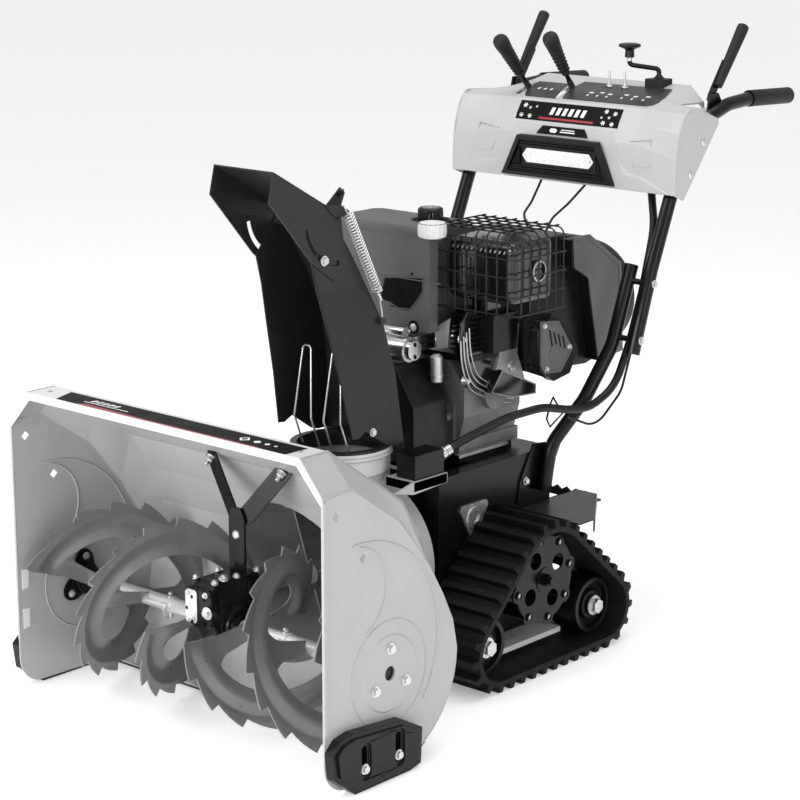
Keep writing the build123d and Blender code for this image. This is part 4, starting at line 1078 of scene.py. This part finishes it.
def make_shroud():
    """The engine's gloss shroud, its bright rims and discs of painted shade for the starter's
    holes.
    """
    shroud = Shape()
    shroud.prism("x", [(-62, 694), (38, 660), (30, 612), (12, 568), (46, 560), (-3, 521),
                       (-28, 524), (-60, 548), (-78, 590), (-84, 640), (-82, 672)], 101, 107)
    shroud.prism("x", [(18, 568), (44, 557), (124, 522), (124, 502), (45, 506),
                       (-17, 527)], 96, 128)
    shroud.make("engine_shroud", ["gloss_black"], 2.5, segments=3)
    rim = Shape()
    rim.tube(at_x(128.6, ((18, 566), (44, 555), (122, 521), (122, 503), (45, 508), (-15, 528))),
             1.5, joined=True)
    rim.turned((221.6, 12, 776), RIGHT,
               [(-1, 20.4), (0.6, 20.4), (1.0, 19.4), (1.0, 17.4), (0.4, 17)], 0, 48, False)
    for k in range(12):
        x = 66 + 11.5 * k
        rim.prism("y", [(x, 815), (x + 3.5, 815), (x + 6.5, 821), (x + 3, 821)], -63.6, -62.0)
    rim.make("engine_rims", ["cast_aluminium"])

    # Near-black discs of painted shade stand for the starter's holes.
    end = Shape()
    for z in (610, 634):
        end.turned((48, -150.2, z), FORWARD, [(0, 4.6), (0.6, 4.2)], 0, 20)
    end.make("starter_holes", ["hole_painted_shade"])


def make_covers():
    cheek = Shape()
    outline = [(208, 807), (263, 807), (370, 736), (382, 550), (299, 543), (260, 719), (213, 746)]
    cheek.prism("x", outline, 146, 151.2)
    cheek.tube(at_x(151.4, ((216, 798), (262, 798), (361, 731), (372, 560))), 1.8)
    cheek.make("cover_cheek", ["cover_grey"], 1.5)

    intake = Shape()
    plate = [(81, 660), (138, 653), (185, 590), (147, 548), (96, 553), (83, 571)]
    intake.prism("x", plate, 169.5, 172.6)
    intake.tube(at_x(172.6, ((86, 655), (136, 648), (177, 590), (144, 553), (99, 558), (88, 573))),
                1.8, joined=True)
    for k in range(4):
        y = 101 + 14 * k
        intake.tube([(172.6, y, 640 - 6 * k), (172.6, y + 10, 604 - 4 * k)], 1.6)
    intake.turned((172.4, 128, 588), RIGHT,
                  [(0, 20), (2, 19), (2.4, 15), (0.8, 13.5), (0.8, 2)], 0, 40)
    intake.make("intake_cover", ["cover_grey"], 0.5)

    # Near-black slits of painted shade for the vent openings, and a sheet of painted shade in the
    # gap behind the cover.
    vents = Shape()
    for k in range(4):
        y = 106 + 14 * k
        vents.prism("x", [(y, 640 - 6 * k), (y + 4.5, 639 - 6 * k), (y + 13, 606 - 4 * k),
                          (y + 9, 605 - 4 * k)], 172.5, 173.0)
    vents.prism("x", [(37, 669), (60, 676), (128, 668), (120, 660), (62, 664), (50, 574),
                      (120, 546), (128, 535), (45, 566)], 158, 162)
    vents.make("intake_vents", ["hole_painted_shade"], 0.2)

    bolts = Shape()
    for y, z in ((92, 650), (172, 596), (100, 562)):
        bolts.hexagon((173.0, y, z), RIGHT, 4.2, 3.4, 0, 1.0)
    bolts.make("cover_bolts", ["zinc"], 0.2)


def make_tracks():
    for side, label in ((1, "right"), (-1, "left")):
        rings = Shape()
        for k in range(8):
            angle = radians(45 * k + 10)
            y, z = SPROCKET[0] + 80 * cos(angle), SPROCKET[1] + 80 * sin(angle)
            for x in SPROCKET_DISCS:
                rings.turned((side * x, y, z), (side, 0, 0), [(0, 8), (1.4, 7.8), (1.8, 6.8),
                                                              (1.8, 5.6), (0.2, 5.5),
                                                              (0.2, 1)], 0, 24)
        rings.make("sprocket_rings_" + label, ["lip_paint"],
                           body="sprocket_" + label)
    bars = Shape()
    for side in SIDES:
        low, high = sorted((side * 160, side * 226.4))
        bars.box((low, -126, 43.6), (high, 88, 44.6))
        outer = side * 226.1
        low, high = sorted((outer, outer + side * 0.6))
        bars.box((low, -126, 34.2), (high, 88, 44.4))
    bars.make("frame_bars", ["lip_paint"], 0.2)


def make_hose():
    clip = Shape()
    clip.tube(at_x(225, ((55, 522), (86, 484), (47, 464), (36, 482), (46, 508))), 2.0, 0,
              10, joined=True)
    clip.make("hose_clip", ["wire_black"])
    fitting = Shape()
    fitting.turned((149, -192, 442), (0.2, 1, 0.35), [(0, 8.6), (0.6, 12.4), (9, 12.6),
                                                      (9.6, 10.4), (12, 10.2), (12.6, 11.6),
                                                      (24, 11.2), (25, 9.4)])
    fitting.make("hose_fitting", ["steel"])


# Scene

make_camera()
make_stage()
finish_nodes()
make_augers()
make_plates()
make_housing_decal()
make_housing_seams()
make_gearbox()
make_brace()
make_bearings()
make_gearbox_plate()
make_spring()
make_chute_edges()
make_panel_inlays()
make_panel_decal()
make_panel_relief()
make_panel_parts()
make_lamp()
make_hand_levers()
make_clutch_levers()
make_crank_knob()
make_tank()
make_crankcase()
make_shroud()
make_covers()
make_tracks()
make_hose()
